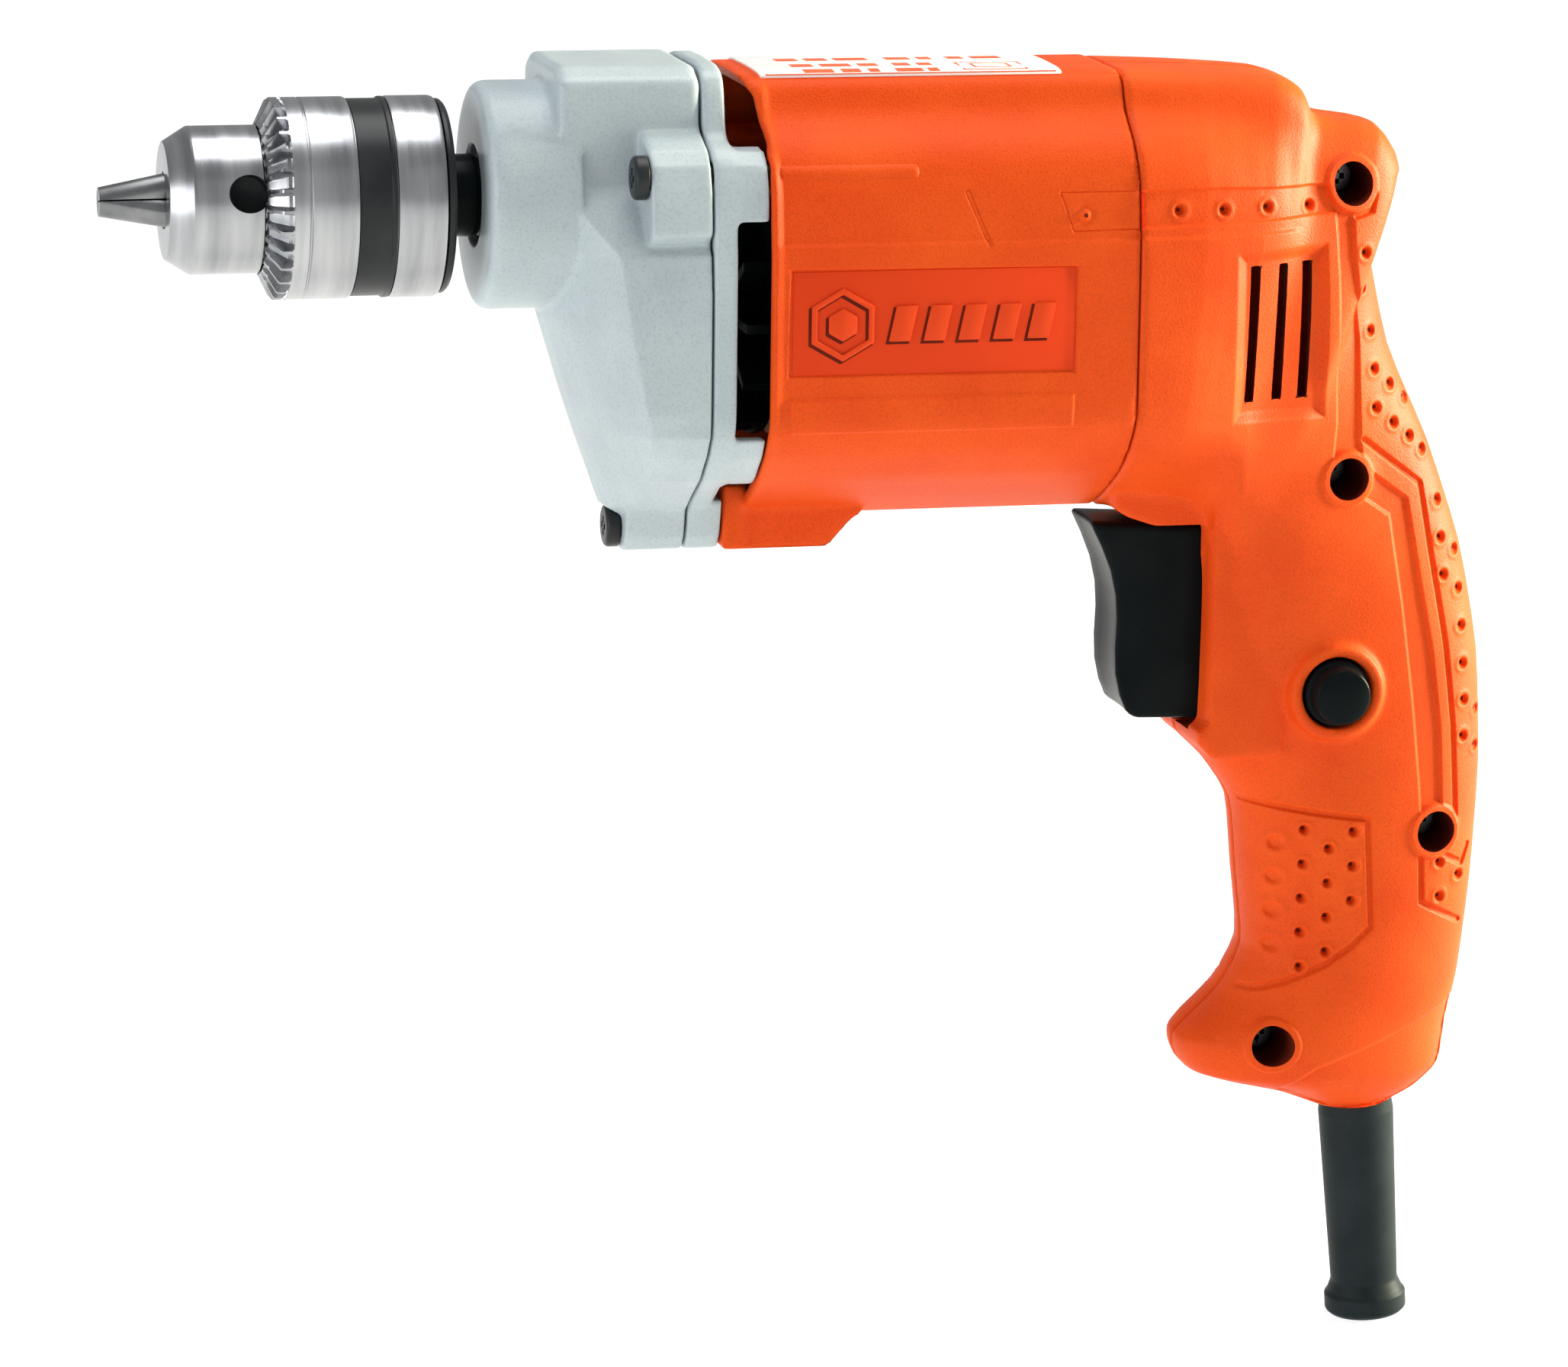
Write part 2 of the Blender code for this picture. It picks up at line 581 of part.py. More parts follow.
def make_armature():
    at = (0, 0, MOTOR_Z)
    outline = ((0, 34), (1.4, 34), (1.5, 37.2), (3.0, 37.4), (3.0, 122.6), (0, 122.6))
    shaft = turned("armature_shaft", outline, STEEL, at, steps=20)
    tooth_up = TURN / 4
    pinion = prism("pinion", [gear_outline(PINION_TEETH, tooth_up)], 27.6, 37.6, None, at)
    join(shaft, pinion)
    ring("front_bearing", 9.5, 3.0 + GAP, 38.6, 44.2, STEEL, at)
    ring("rear_bearing", 8.0, 3.0 + GAP, 117.6, 122.8, STEEL, at)
    ring("bearing_boot", 10.1, 8.0 + GAP, 117.5, 123.0, RUBBER, at)
    fan = prism("fan", [fan_blades()], 45.8, 51.0, BLACK, at)
    join(fan, rod("fan_plate", 22.4, 50.4, 52.0, None, at, steps=32))
    cut(fan, rod("fan_bore", 3.0 + GAP, 40, 60, None, at))
    ring("armature_core", 15.4, 3.0 + GAP, 60.0, 95.0, LAMINATION, at, steps=32)
    ring("winding_front", 13.2, 3.0 + GAP, 54.6, 59.7, COPPER, at, steps=20)
    ring("winding_rear", 13.2, 3.0 + GAP, 95.3, 100.4, COPPER, at, steps=20)
    ring("commutator", 9.6, 3.0 + GAP, 101.0, 113.0, COPPER, at, steps=20)


def arc_block(inner, outer, middle, spread):
    """Outline of a slice of a ring, as (y, z)."""
    angles = [middle + spread * (k / 8 - 0.5) for k in range(9)]
    return [around(outer, a) for a in angles] + [around(inner, a) for a in reversed(angles)]


def make_stator():
    at = (0, 0, MOTOR_Z)
    stator = ring("stator", 27.4, 16.2, 58.0, 98.0, LAMINATION, at, steps=32)
    for name, middle in (("upper", TURN / 4), ("lower", -TURN / 4)):
        slot = arc_block(15.0, 23.2, middle, math.radians(112))
        cut(stator, prism(f"coil_slot_{name}", [slot], 50, 110, None, at))
        coil = arc_block(17.0, 22.8, middle, math.radians(106))
        prism(f"field_coil_{name}", [coil], 54.5, 101.5, COPPER, at)


def coil_spring(name, radius, wire, start, end, turns, look, at, axis):
    """An open coil of round wire between two distances along the axis."""
    steps = turns * 8
    curve = bpy.data.curves.new(name, "CURVE")
    curve.dimensions = "3D"
    curve.bevel_depth = wire / 2 * MM
    curve.bevel_resolution = 1
    curve.use_fill_caps = True
    spline = curve.splines.new("POLY")
    spline.points.add(steps)
    for k, corner in enumerate(spline.points):
        u, v = around(radius, k * TURN / 8)
        far = start + wire / 2 + (end - start - wire) * k / steps
        corner.co = (u * MM, v * MM, far * MM, 1)
    return from_curve(name, curve, look, at, aim(axis))


def make_brushes():
    low, high = MOTOR_Z - 5.4, MOTOR_Z + 5.4
    for side, name in ((-1, "left"), (1, "right")):
        reach = sorted((side * 12.0, side * 27.2))
        holder = block(f"brush_holder_{name}", (102.0, reach[0], low), (112.0, reach[1], high), BLACK)
        cut(holder, block(f"brush_room_{name}", (103.6, -40, low + 1.6), (110.4, 40, high - 1.6), None))
        reach = sorted((side * 10.0, side * 18.6))
        block(f"brush_{name}", (104.0, reach[0], low + 2), (110.0, reach[1], high - 2), CARBON)
        coil_spring(f"brush_spring_{name}", 2.2, 0.7, 19.0, 26.6, 4, STEEL,
                    (107.0, 0, MOTOR_Z), (0, side, 0))


# --- handle --------------------------------------------------------------------------------------

def handle_profile(share):
    """Fractions (along, out) of a handle section, from the back edge round the side to the front."""
    top, bottom = HALF_SECTION[0][1], HALF_SECTION[-1][1]
    widest = max(y for y, _ in HALF_SECTION)
    count = len(HALF_SECTION)
    profile = []
    for k, (y, z) in enumerate(HALF_SECTION):
        angle = math.pi * k / (count - 1)
        oval = ((1 - math.cos(angle)) / 2, math.sin(angle) ** OVAL_POWER)
        boxy = ((top - z) / (top - bottom), y / widest)
        profile.append(tuple(a + (b - a) * share for a, b in zip(boxy, oval)))
    return profile


def handle_ring(station, side, wall, seam, every=1):
    """One closed section of a handle half; wall moves it inwards for the hollow."""
    back, front, half_width, share = station
    back, front = Vector(back), Vector(front)
    along = (front - back).normalized()
    back, front = back + along * wall, front - along * wall
    points = []
    for far, out in handle_profile(share)[::every]:
        x, z = back.lerp(front, far)
        points.append((x, side * max(out * (half_width - wall), seam), z))
    points[0] = (back.x, side * seam, back.y)
    points[-1] = (front.x, side * seam, front.y)
    return points


def handle_hollow(name, side):
    """The hollow of a handle half, open at the front end and across the seam."""
    back, front, half_width, share = HANDLE_STATIONS[0]
    forward = Vector((-4, 0))
    before = (Vector(back) + forward, Vector(front) + forward, half_width, share)
    rings = []
    for station in [before] + list(HANDLE_STATIONS[:-2]):
        rings.append([(x, -side if abs(y) <= SEAM else y, z)
                      for x, y, z in handle_ring(station, side, HANDLE_WALL, SEAM, 2)])
    return loft(name, rings, None)


def make_handle_half(name, side):
    rings = [handle_ring(station, side, 0, SEAM) for station in HANDLE_STATIONS]
    half = loft(name, rings, ORANGE)
    cut(half, handle_hollow(f"{name}_hollow", side))
    rib = sorted((side * SEAM, side * 29.4))
    join(half, block(f"{name}_rib", (117.3, rib[0], -38), (123.2, rib[1], -10), None))
    for k, (x, z, reach) in enumerate(HANDLE_SCREWS):
        join(half, rod(f"{name}_boss_{k}", 5.0, SEAM, reach, None, (x, 0, z), (0, side, 0), 16))
        if side < 0:
            room = rod(f"{name}_head_{k}", 3.8, HEAD_SEAT_Y - GAP, 40, None, (x, 0, z), (0, side, 0), 16)
            cut(half, room, rod(f"{name}_shank_{k}", SHANK_R + GAP, -1, 20, None, (x, 0, z),
                                (0, side, 0), 12))
        else:
            cut(half, rod(f"{name}_shank_{k}", SHANK_R + GAP, -1, 9.6, None, (x, 0, z), (0, side, 0), 12))
    cut(half, rod(f"{name}_boot_seat", 10.4, 100, 140, None, (0, 0, MOTOR_Z), steps=32))
    cut(half, block(f"{name}_trigger_mouth", (117, -8.8, -101.5), (146, 8.8, -62.2), None))
    cut(half, rod(f"{name}_cord_hole", 7.0, -30, 30, None, CORD_TOP, CORD_DOWN, 24))
    cut(half, rod(f"{name}_cord_room", 9.4, -9.4, -3.4, None, CORD_TOP, CORD_DOWN, 24))
    for k, x in enumerate(VENT_X):
        near, far = sorted((side * 16, side * 40))
        low = (x - VENT_HALF_WIDTH, near, VENT_Z[0] - k * 0.3)
        high = (x + VENT_HALF_WIDTH, far, VENT_Z[1] + k * 0.3)
        cut(half, block(f"{name}_vent_{k}", low, high, None))
    return half


def make_lock(left_half):
    """Button on the left that holds the trigger in, with its raised collar."""
    at, out = (LOCK_X, 0, LOCK_Z), (0, -1, 0)
    cut(left_half, rod("lock_hole", 7.0, 5, 40, None, at, out, 16))
    collar = ring("lock_collar", 9.0, 6.7, 15.4, 18.4, None, at, out, 20)
    combine(left_half, collar, "UNION", "MANIFOLD")
    outline = ((0, 23.2), (3.6, 23.0), (5.0, 22.0), (5.4, 20.4), (5.4, 18.9), (6.25, 18.7), (6.25, 12.8),
               (7.3, 12.8), (7.3, 11.5), (0, 11.5))
    turned("lock_button", outline, BLACK, at, out, 20)


def make_trigger():
    side = ((114.3, -61.9), (116.6, -66.7), (118.4, -71.2), (119.6, -76.0), (119.8, -80.6),
            (119.6, -86.2), (119.8, -90.8), (120.9, -95.4), (123.2, -99.4), (138.0, -99.8),
            (138.0, -63.2), (130.0, -62.8))
    trigger = prism("trigger", [side], -TRIGGER_HALF_WIDTH, TRIGGER_HALF_WIDTH, BLACK, turn=ALONG_Y)
    soften(trigger, 1.2)
    join(trigger, rod("trigger_stem", 2.2, 136, 151, None, (0, 0, -80)))
    body = block("switch_body", (145.6, -8, -99), (168, 8, -67), BLACK, 0.8)
    cut(body, rod("stem_hole", 2.2 + GAP, 140, 160, None, (0, 0, -80)))


def make_handle_fittings(right_half):
    for k, (x, z, _) in enumerate(HANDLE_SCREWS):
        top = HEAD_SEAT_Y + 2.3
        outline = ((0, top), (2.9, top), (3.3, top - 0.6), (3.3, HEAD_SEAT_Y), (SHANK_R, HEAD_SEAT_Y),
                   (SHANK_R, -8.5), (0, -8.5))
        turned(f"handle_screw_{k + 1}", outline, STEEL, (x, 0, z), (0, -1, 0), 12)
    rod("capacitor", 6.4, 156.5, 172.5, PAPER, (0, 0, -109))
    clamp = block("cord_clamp", (160.5, 4.6, -160), (181.5, 7.4, -154), BLACK, 0.6)
    rail = block("clamp_rail", (160, 7.7, -160.7), (181, 12.6, -153.3), None)
    join(rail, block("clamp_rail_foot", (162.3, 11.7, -159.6), (173.2, 15.2, -154.5), None))
    for k, x in enumerate((164.0, 178.0)):
        at, out = (x, 0, -157), (0, 1, 0)
        cut(rail, rod(f"rail_hole_{k}", 1.8, 5, 13.4, None, at, out, 12))
        cut(clamp, rod(f"clamp_hole_{k}", 1.8, 0, 10, None, at, out, 12))
        outline = ((0, 2.2), (2.7, 2.2), (2.7, 4.3), (1.5, 4.3), (1.5, 10.2), (0, 10.2))
        turned(f"clamp_screw_{k + 1}", outline, STEEL, at, out, 12)
    combine(right_half, rail, "UNION", "MANIFOLD")
    outline = ((3.75, -9.0), (9.0, -9.0), (9.0, -3.8), (6.6, -3.6), (6.6, -1.0), (7.2, 3.5), (6.3, 38.4),
               (7.6, 40.4), (7.8, 44.3), (3.75, 44.3))
    turned("cord_sleeve", outline, RUBBER, CORD_TOP, CORD_DOWN, 20)


def make_handle():
    left = make_handle_half("handle_left", -1)
    right = make_handle_half("handle_right", 1)
    make_lock(left)
    make_trigger()
    make_handle_fittings(right)


def smooth_round_faces():
    """Fix the modifiers into each part's mesh, and shade it smooth between its sharp edges."""
    for piece in PARTS.objects:
        fix_modifiers(piece)
        piece.data.shade_smooth()
        piece.data.set_sharp_from_angle(angle=math.radians(32))


make_chuck()
make_spindle()
make_gear_case()
make_mid_cover()
make_case_screws()
make_motor_housing()
make_armature()
make_stator()
make_brushes()
make_handle()
smooth_round_faces()
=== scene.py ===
"""Looks for the corded hand drill: moulded shells, turned chuck, materials, camera and light.

Lengths are in millimetres in the drill's own frame: X runs back along the spindle from the front
face of the nose, Y points to the right of whoever holds the drill, and Z points up. spot() turns
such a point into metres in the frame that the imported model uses.
"""
import json
import math

import bmesh
import bpy
import numpy as np
from mathutils import Matrix, Vector


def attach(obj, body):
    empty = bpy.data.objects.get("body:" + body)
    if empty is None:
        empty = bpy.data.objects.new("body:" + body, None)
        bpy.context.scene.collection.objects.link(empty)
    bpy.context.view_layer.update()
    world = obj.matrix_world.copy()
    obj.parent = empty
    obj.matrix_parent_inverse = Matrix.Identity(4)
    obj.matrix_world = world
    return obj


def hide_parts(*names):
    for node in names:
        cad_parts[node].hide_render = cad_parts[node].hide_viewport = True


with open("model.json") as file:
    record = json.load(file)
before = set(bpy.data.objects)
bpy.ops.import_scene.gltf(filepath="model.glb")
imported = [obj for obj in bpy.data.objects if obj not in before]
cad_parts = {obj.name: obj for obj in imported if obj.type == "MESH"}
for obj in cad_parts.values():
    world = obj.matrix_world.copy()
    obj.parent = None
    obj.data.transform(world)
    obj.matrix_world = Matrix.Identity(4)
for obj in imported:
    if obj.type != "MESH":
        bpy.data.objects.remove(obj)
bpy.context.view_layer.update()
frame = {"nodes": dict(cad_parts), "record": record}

MM = 0.001
GAP = 0.3
TURN = 2 * math.pi

# The drill's ends
JAW_TIP_X = -67.2
HANDLE_BACK_X = 192.9
LOWEST_Z = -220.8
MIDDLE_X = (JAW_TIP_X + HANDLE_BACK_X) / 2

# Chuck
CHUCK_FRONT_X = -55.7
SLEEVE_R = 18.0
SLEEVE_FRONT_X = -39.0
SLEEVE_TEETH = 30
KEY_HOLE_X = -41.8
KEY_HOLE_R = 3.4
KEY_HOLE_ANGLE = math.radians(168)
JAW_R = 3.0
JAW_TIP_R = 2.6
JAW_SLOPE = math.radians(12.4)
JAW_REAR_X = -37.0
BODY_R = 13.2
BODY_REAR_X = -5.65
CHUCK_STEPS = 128

# Gear case, mid cover and motor housing
NOSE_R = 20.5
CASE_REAR_X = 38.0
COVER_X = (38.3, 42.5)
HOUSING_X = (48.5, 116.0)
FOOT_END_X = 44.6
WALL = 2.6
TOP_SCREW_Y = 24.5
TOP_SCREW_Z = 5.9
LOW_SCREW_Z = -61.1
SCREW_HEAD_R = 3.95
SCREW_HEAD_X = 24.2
SCREW_SEAT_X = 27.0
MOTOR_Z = -22.05
SCREW_HOLE_R = 2.4
CHIN_HALF_WIDTH = 7.2
PLATE_BACK_Y = 29.3

# Rooms and seats bored along X: radius, start, end
GEAR_ROOM = (20.8, 27.6, 45)
PINION_ROOM = (6.2, 24, 45)
NOSE_HOLE = (9.2, -5, 30)
FRONT_SEAT = (13.4, 2.9, 14.1)
BUSH_SEAT = (7.4, 30, 60)
MOTOR_SEAT = (9.9, 30, 60)
BOOT_SEAT = (10.5, 100, 140)

# Bored along the cord, and for the button: radius, start, end
CORD_HOLE = (7.2, -30, 30)
CORD_ROOM = (9.5, -9.5, -3.3)
LOCK_HOLE = (7.0, 5, 40)

# Handle
SEAM = 0.15
BOSS_R = 5.0
SHANK_ROOM_R = 1.95
SCREW_SHANK_R = 1.6
SHANK_END_Y = -8.5
HANDLE_WALL = 2.8
HANDLE_SCREWS = ((160.3, 1.2, 13.4), (160.7, -53.4, 17.2), (180.7, -121.6, 14.2), (149.9, -161.8, 14.8))
HEAD_SEAT_Y = 3.2
SCREW_ROOM_R = 3.95
MOUTH_HALF_WIDTH = 8.7
MOUTH_BACK_X = 135.2
MOUTH_Z = (-100.2, -62.2)
MOUTH_FLARE = 0.14
LOCK_X = 159.5
LOCK_Z = -93.5
CORD_TOP = Vector((171.6, 0, -176.0))
CORD_DOWN = Vector((3.5, 0, -42.4)).normalized()

# Size of the squares that the moulded and the cast skins are made of
SKIN = 0.5
CAST_SKIN = SKIN * 0.8

# Half of the cross-section that gear case, mid cover and motor housing share, as (y, z)
HALF_SECTION = (
    (0, 22.6), (12, 22.4), (15.4, 21.6), (16.8, 19.6), (17.8, 16.4), (20.4, 14), (24.6, 11),
    (27.8, 7.6), (29.6, 3.6), (31, -8), (31, -39), (27, -44.5), (21, -49.8), (12, -55), (4, -59),
    (0, -60))

# Edge of the flange where the gear case meets the mid cover, from the top middle down, as (y, z)
FLANGE_HALF = (
    (0, 24.5), (12, 24.2), (16, 22.7), (17.5, 16.2), (18.5, 12.2), (24.6, 10.6), (27.4, 8), (28.9, 4),
    (30, -9), (30, -39), (26.3, -44.3), (20.5, -49.6), (11.8, -54.8), (4, -58.8), (0, -59.8))

# Levels of the gear case's wedge: z, front x in the middle, crease (x, y), half width at the rear
WEDGE_LEVELS = (
    (3.4, 9.0, 12.6, 17.6, 17.8), (-7.6, 9.0, 21.6, 26.9, 28.9), (-14.0, 10.2, 22.7, 27.6, 29.8),
    (-21.5, 11.6, 23.7, 28.2, 30.0), (-28.0, 13.6, 24.9, 28.7, 30.0), (-35.8, 16.0, 26.5, 28.9, 30.0),
    (-40.3, 17.5, 27.4, 28.0, 29.4), (-44.3, 18.8, 28.2, 25.2, 26.3), (-49.6, 20.7, 28.8, 19.4, 20.5),
    (-54.0, 22.2, 28.6, 12.0, 13.2), (-57.0, 23.3, 27.9, 7.4, 8.6), (-58.9, 24.6, 27.4, 3.6, 4.4))

# Stations of the handle: (back x, z), (front x, z), half width, share of the grip's oval section
HANDLE_STATIONS = (
    ((116.3, 22.4), (116.3, -60.0), 31.0, 0.0),
    ((131.0, 21.9), (124.5, -61.0), 30.0, 0.05),
    ((146.6, 20.9), (130.5, -62.4), 27.5, 0.2),
    ((152.2, 18.4), (133.5, -65.5), 25.5, 0.35),
    ((155.2, 13.4), (134.2, -70.0), 24.0, 0.5),
    ((167.8, 11.1), (134.4, -76.0), 22.0, 0.65),
    ((172.6, 3.7), (134.5, -82.0), 20.5, 0.8),
    ((166.9, -7.4), (134.4, -88.0), 19.5, 0.9),
    ((171.8, -29.4), (134.0, -95.0), 18.3, 1.0),
    ((180.4, -48.0), (133.4, -103.0), 17.6, 1.0),
    ((187.5, -67.8), (139.2, -109.0), 17.2, 1.0),
    ((191.6, -88.0), (144.5, -117.0), 17.0, 1.0),
    ((192.9, -110.0), (146.1, -131.0), 16.9, 1.0),
    ((192.0, -132.0), (147.5, -145.3), 16.9, 1.0),
    ((190.2, -150.5), (142.8, -154.2), 17.1, 1.0),
    ((188.2, -161.0), (134.4, -162.6), 17.4, 1.0),
    ((187.2, -169.5), (137.3, -169.2), 16.0, 1.0),
    ((182.6, -173.9), (152.0, -173.0), 12.8, 1.0),
    ((176.5, -176.9), (162.0, -176.9), 9.2, 1.0))

# Stations of the hollow under the knob, whose back is kept further in so that the wall stays whole
NOTCH_STATIONS = range(4, 10)
NOTCH_EXTRA = 3.0

# How full the grip's oval section is: 1 for an ellipse, less for a fuller one
OVAL_POWER = 0.8

# Moulded details, all drawn on the side of the drill as (x, z)
STRIP = ((101.1, 2.7), (131.6, 2.7), (158.0, 1.5), (158.0, -4.1), (131.5, -4.2), (103.6, -4.8))
UPPER_CHANNEL = ((156.0, 1.0), (156.3, -11.4), (157.1, -27.0), (157.8, -43.0), (156.8, -54.0),
                 (164.0, -52.5), (163.6, -46.2), (163.0, -27.8), (160.5, -11.6), (160.3, 1.0))
LOWER_CHANNEL = ((162.7, -56.7), (169.3, -61.1), (172.2, -78.3), (174.6, -95.5), (176.7, -113.0),
                 (177.4, -121.5), (182.6, -121.5), (181.4, -101.8), (179.3, -86.7), (176.5, -72.9),
                 (173.8, -57.8), (165.2, -51.7))
BACK_LINE = ((164.0, -46.4), (176.5, -55.6), (178.6, -68.6), (181.9, -85.8), (184.0, -102.1),
             (185.4, -122.0))
TOP_HOOK = ((160.5, -4.6), (164.1, -3.8), (164.8, -0.8))
PALM_LINE = ((143.6, -115.5), (149.5, -116.1), (157.2, -117.1), (166.9, -118.3), (168.2, -139.2),
             (164.6, -142.8), (159.7, -146.4), (152.8, -149.8), (147.9, -151.6), (144.1, -152.0))
LOW_PANEL_LINE = ((177.8, -126.5), (178.2, -135.1), (187.3, -140.1))
CATCH_LINE = ((182.8, -126.4), (187.2, -128.8), (188.8, -125.5))
COLLAR_LINE = ((190.0, -154.5), (183.5, -156.5), (176.4, -159.0), (166.9, -162.7), (158.5, -165.8),
               (152.4, -170.5), (150.0, -176.0))
SLANT_LINE = ((84.4, 2.8), (88.3, -6.3))
STRIP_DOTS = ((105.9, -1.6), (123.7, -1.3), (132.4, -1.5), (141.2, -1.5), (150.9, -2.1))
BACK_DOTS = ((162.4, -11.3), (163.3, -18.5), (165.6, -26.6), (166.4, -33.7), (170.3, -36.9),
             (174.1, -39.9), (166.7, -40.8), (170.7, -43.9), (174.4, -46.8), (177.5, -49.6),
             (180.7, -59.2), (181.0, -66.1), (184.6, -68.8), (181.4, -73.0), (185.2, -76.1),
             (185.8, -83.1), (186.1, -90.2), (186.5, -97.2), (186.5, -104.1), (190.1, -99.8),
             (190.0, -106.7), (181.9, -127.7), (186.6, -130.9), (182.1, -134.4))
PALM_DOTS_WIDE = (150.6, -123.4, 4)
PALM_DOTS = ((155.3, -120.4, 5), (159.8, -123.9, 4), (164.2, -120.6, 3))
PALM_PITCH = 6.65
DOT_SHADE_R = 0.4
VENT_OUTER = ((134.7, -9.1), (154.6, -8.7), (155.7, -41.9), (135.3, -41.4))
VENT_SLOTS = (139.1, 145.1, 150.4)
VENT_Z = (-37.4, -12.0)
VENT_WIDTH = 2.05
VENT_ROUND = 0.6
SHADE_EDGE = 0.03
SIDE_PANEL = ((51.7, -10.0), (104.9, -10.4), (104.6, -29.9), (51.4, -29.7))
BAR_PANEL = ((52.0, -33.3), (104.4, -33.4), (104.4, -40.1), (52.0, -40.1))
BAR_HEIGHT = 0.5
RIDGE_Z = -6.0
SHELF_DEPTH = 0.55

# Plain emblem on the side panels, as (x, z), and print on the label, as (x, y)
PANEL_Y = 30.2
EMBLEM_HEXAGON = (61.4, -20.2)
EMBLEM_BARS = (69.8, 101.6)
EMBLEM_BAR_COUNT = 5
EMBLEM_BAR_Z = (-23.4, -17.0)
EMBLEM_BAR_LEAN = 1.4
EMBLEM_RING = (6.6, 5.4)
EMBLEM_CORE = 3.0
LABEL_X = (49.6, 105.2)
LABEL_HALF_WIDTH = 14.4
LABEL_RISE = 0.4
FRAME_LINE = 0.45
LABEL_ROWS = (
    (-12.6, -10.0, ((58, 63.5), (65, 68.5), (70, 72), (75, 80), (81, 83))),
    (-6.6, -3.4, ((57, 61), (62.5, 68), (69.5, 73), (76, 79), (80.5, 83))),
    (1.6, 5.4, ((56, 60), (61.5, 65.5), (67, 73), (76.5, 81), (82.5, 85), (88, 91), (92.5, 98))))
LABEL_FRAMES = ((50.6, 104.2, -13.7, 13.4), (87.5, 99.5, -12.2, -3.6), (90, 97, -10.2, -5.4))


# --- shapes ---

def spot(x, y, z):
    """A point of the drill's frame, in metres from the stored origin."""
    return Vector((x - MIDDLE_X, y, z - LOWEST_Z)) * MM


def show(name, shape):
    """Link a new object with the given bmesh, its faces turned outwards."""
    bmesh.ops.recalc_face_normals(shape, faces=shape.faces)
    mesh = bpy.data.meshes.new(name)
    shape.to_mesh(mesh)
    shape.free()
    piece = bpy.data.objects.new(name, mesh)
    bpy.context.scene.collection.objects.link(piece)
    return piece


def aim(axis):
    """The turn that takes local Z to the given direction."""
    return Vector(axis).to_track_quat("Z", "Y").to_matrix().to_4x4()


def skin_rows(shape, rows, closed_rows=False):
    """Fill faces between rows of vertices; a row of one vertex is a pole."""
    pairs = list(zip(rows, rows[1:]))
    if closed_rows:
        pairs.append((rows[-1], rows[0]))
    for one, two in pairs:
        steps = max(len(one), len(two))
        for k in range(steps):
            after = (k + 1) % steps
            corners = [one[k % len(one)], one[after % len(one)], two[after % len(two)], two[k % len(two)]]
            corners = list(dict.fromkeys(corners))
            if len(corners) > 2:
                shape.faces.new(corners)


def turned(name, outline, at=(0, 0, 0), axis=(1, 0, 0), steps=96):
    """Turn an outline of (radius, distance) round an axis; one off the axis makes a ring."""
    shape = bmesh.new()
    rows = []
    for radius, far in outline:
        count = steps if radius > 0 else 1
        rows.append([shape.verts.new(Vector((*around(radius, k * TURN / steps), far)) * MM)
                     for k in range(count)])
    skin_rows(shape, rows, min(radius for radius, _ in outline) > 0)
    bmesh.ops.transform(shape, matrix=Matrix.Translation(spot(*at)) @ aim(axis), verts=shape.verts)
    return show(name, shape)


def rod(name, radius, start, end, at=(0, 0, 0), axis=(1, 0, 0), steps=48):
    return turned(name, ((0, end), (radius, end), (radius, start), (0, start)), at, axis, steps)


def block(name, low, high):
    """A box between two corners of the drill's frame."""
    shape = bmesh.new()
    bmesh.ops.create_cube(shape, size=1)
    size = [(b - a) * MM for a, b in zip(low, high)]
    bmesh.ops.scale(shape, vec=size, verts=shape.verts)
    middle = [(a + b) / 2 for a, b in zip(low, high)]
    bmesh.ops.translate(shape, vec=spot(*middle), verts=shape.verts)
    return show(name, shape)


def loft(name, rings):
    """Skin over closed rings of points, each with the same number, with a face on each end."""
    shape = bmesh.new()
    rows = [[shape.verts.new(spot(*corner)) for corner in points] for points in rings]
    skin_rows(shape, rows)
    shape.faces.new(list(reversed(rows[0])))
    shape.faces.new(rows[-1])
    return show(name, shape)


def prism(name, outline, start, end, along="X"):
    """Extrude a flat outline: (y, z) along X, or (x, z) along Y."""
    if along == "X":
        return loft(name, [[(far, u, v) for u, v in outline] for far in (start, end)])
    return loft(name, [[(u, far, v) for u, v in outline] for far in (start, end)])


def bake(piece):
    """Put the evaluated shape into the mesh."""
    bpy.context.view_layer.update()
    graph = bpy.context.evaluated_depsgraph_get()
    made = bpy.data.meshes.new_from_object(piece.evaluated_get(graph))
    piece.modifiers.clear()
    spent = piece.data
    piece.data = made
    bpy.data.meshes.remove(spent)


def cut(piece, *tools):
    """Take the tools' shapes out of a piece, and throw the tools away."""
    for tool in tools:
        step = piece.modifiers.new("Cut", "BOOLEAN")
        step.operation = "DIFFERENCE"
        step.object = tool
        step.solver = "MANIFOLD"
        bake(piece)
        bpy.data.objects.remove(tool, do_unlink=True)
    return piece


def merge(piece, *others):
    """Put other closed shapes into the same mesh; the skin that follows makes them one."""
    shape = bmesh.new()
    shape.from_mesh(piece.data)
    for other in others:
        shape.from_mesh(other.data)
        bpy.data.objects.remove(other, do_unlink=True)
    shape.to_mesh(piece.data)
    shape.free()
    return piece


def even_skin(piece, size, passes):
    """Rebuild a piece as one even skin with the rounded edges of a moulding."""
    skin = piece.modifiers.new("Skin", "REMESH")
    skin.mode = "VOXEL"
    skin.voxel_size = size * MM
    ease = piece.modifiers.new("Ease", "SMOOTH")
    ease.factor = 0.5
    ease.iterations = passes
    bake(piece)
    return piece


def soften(piece, width, segments=3, angle=35):
    bevel = piece.modifiers.new("Edges", "BEVEL")
    bevel.width = width * MM
    bevel.segments = segments
    bevel.limit_method = "ANGLE"
    bevel.angle_limit = math.radians(angle)
    bake(piece)
    return piece


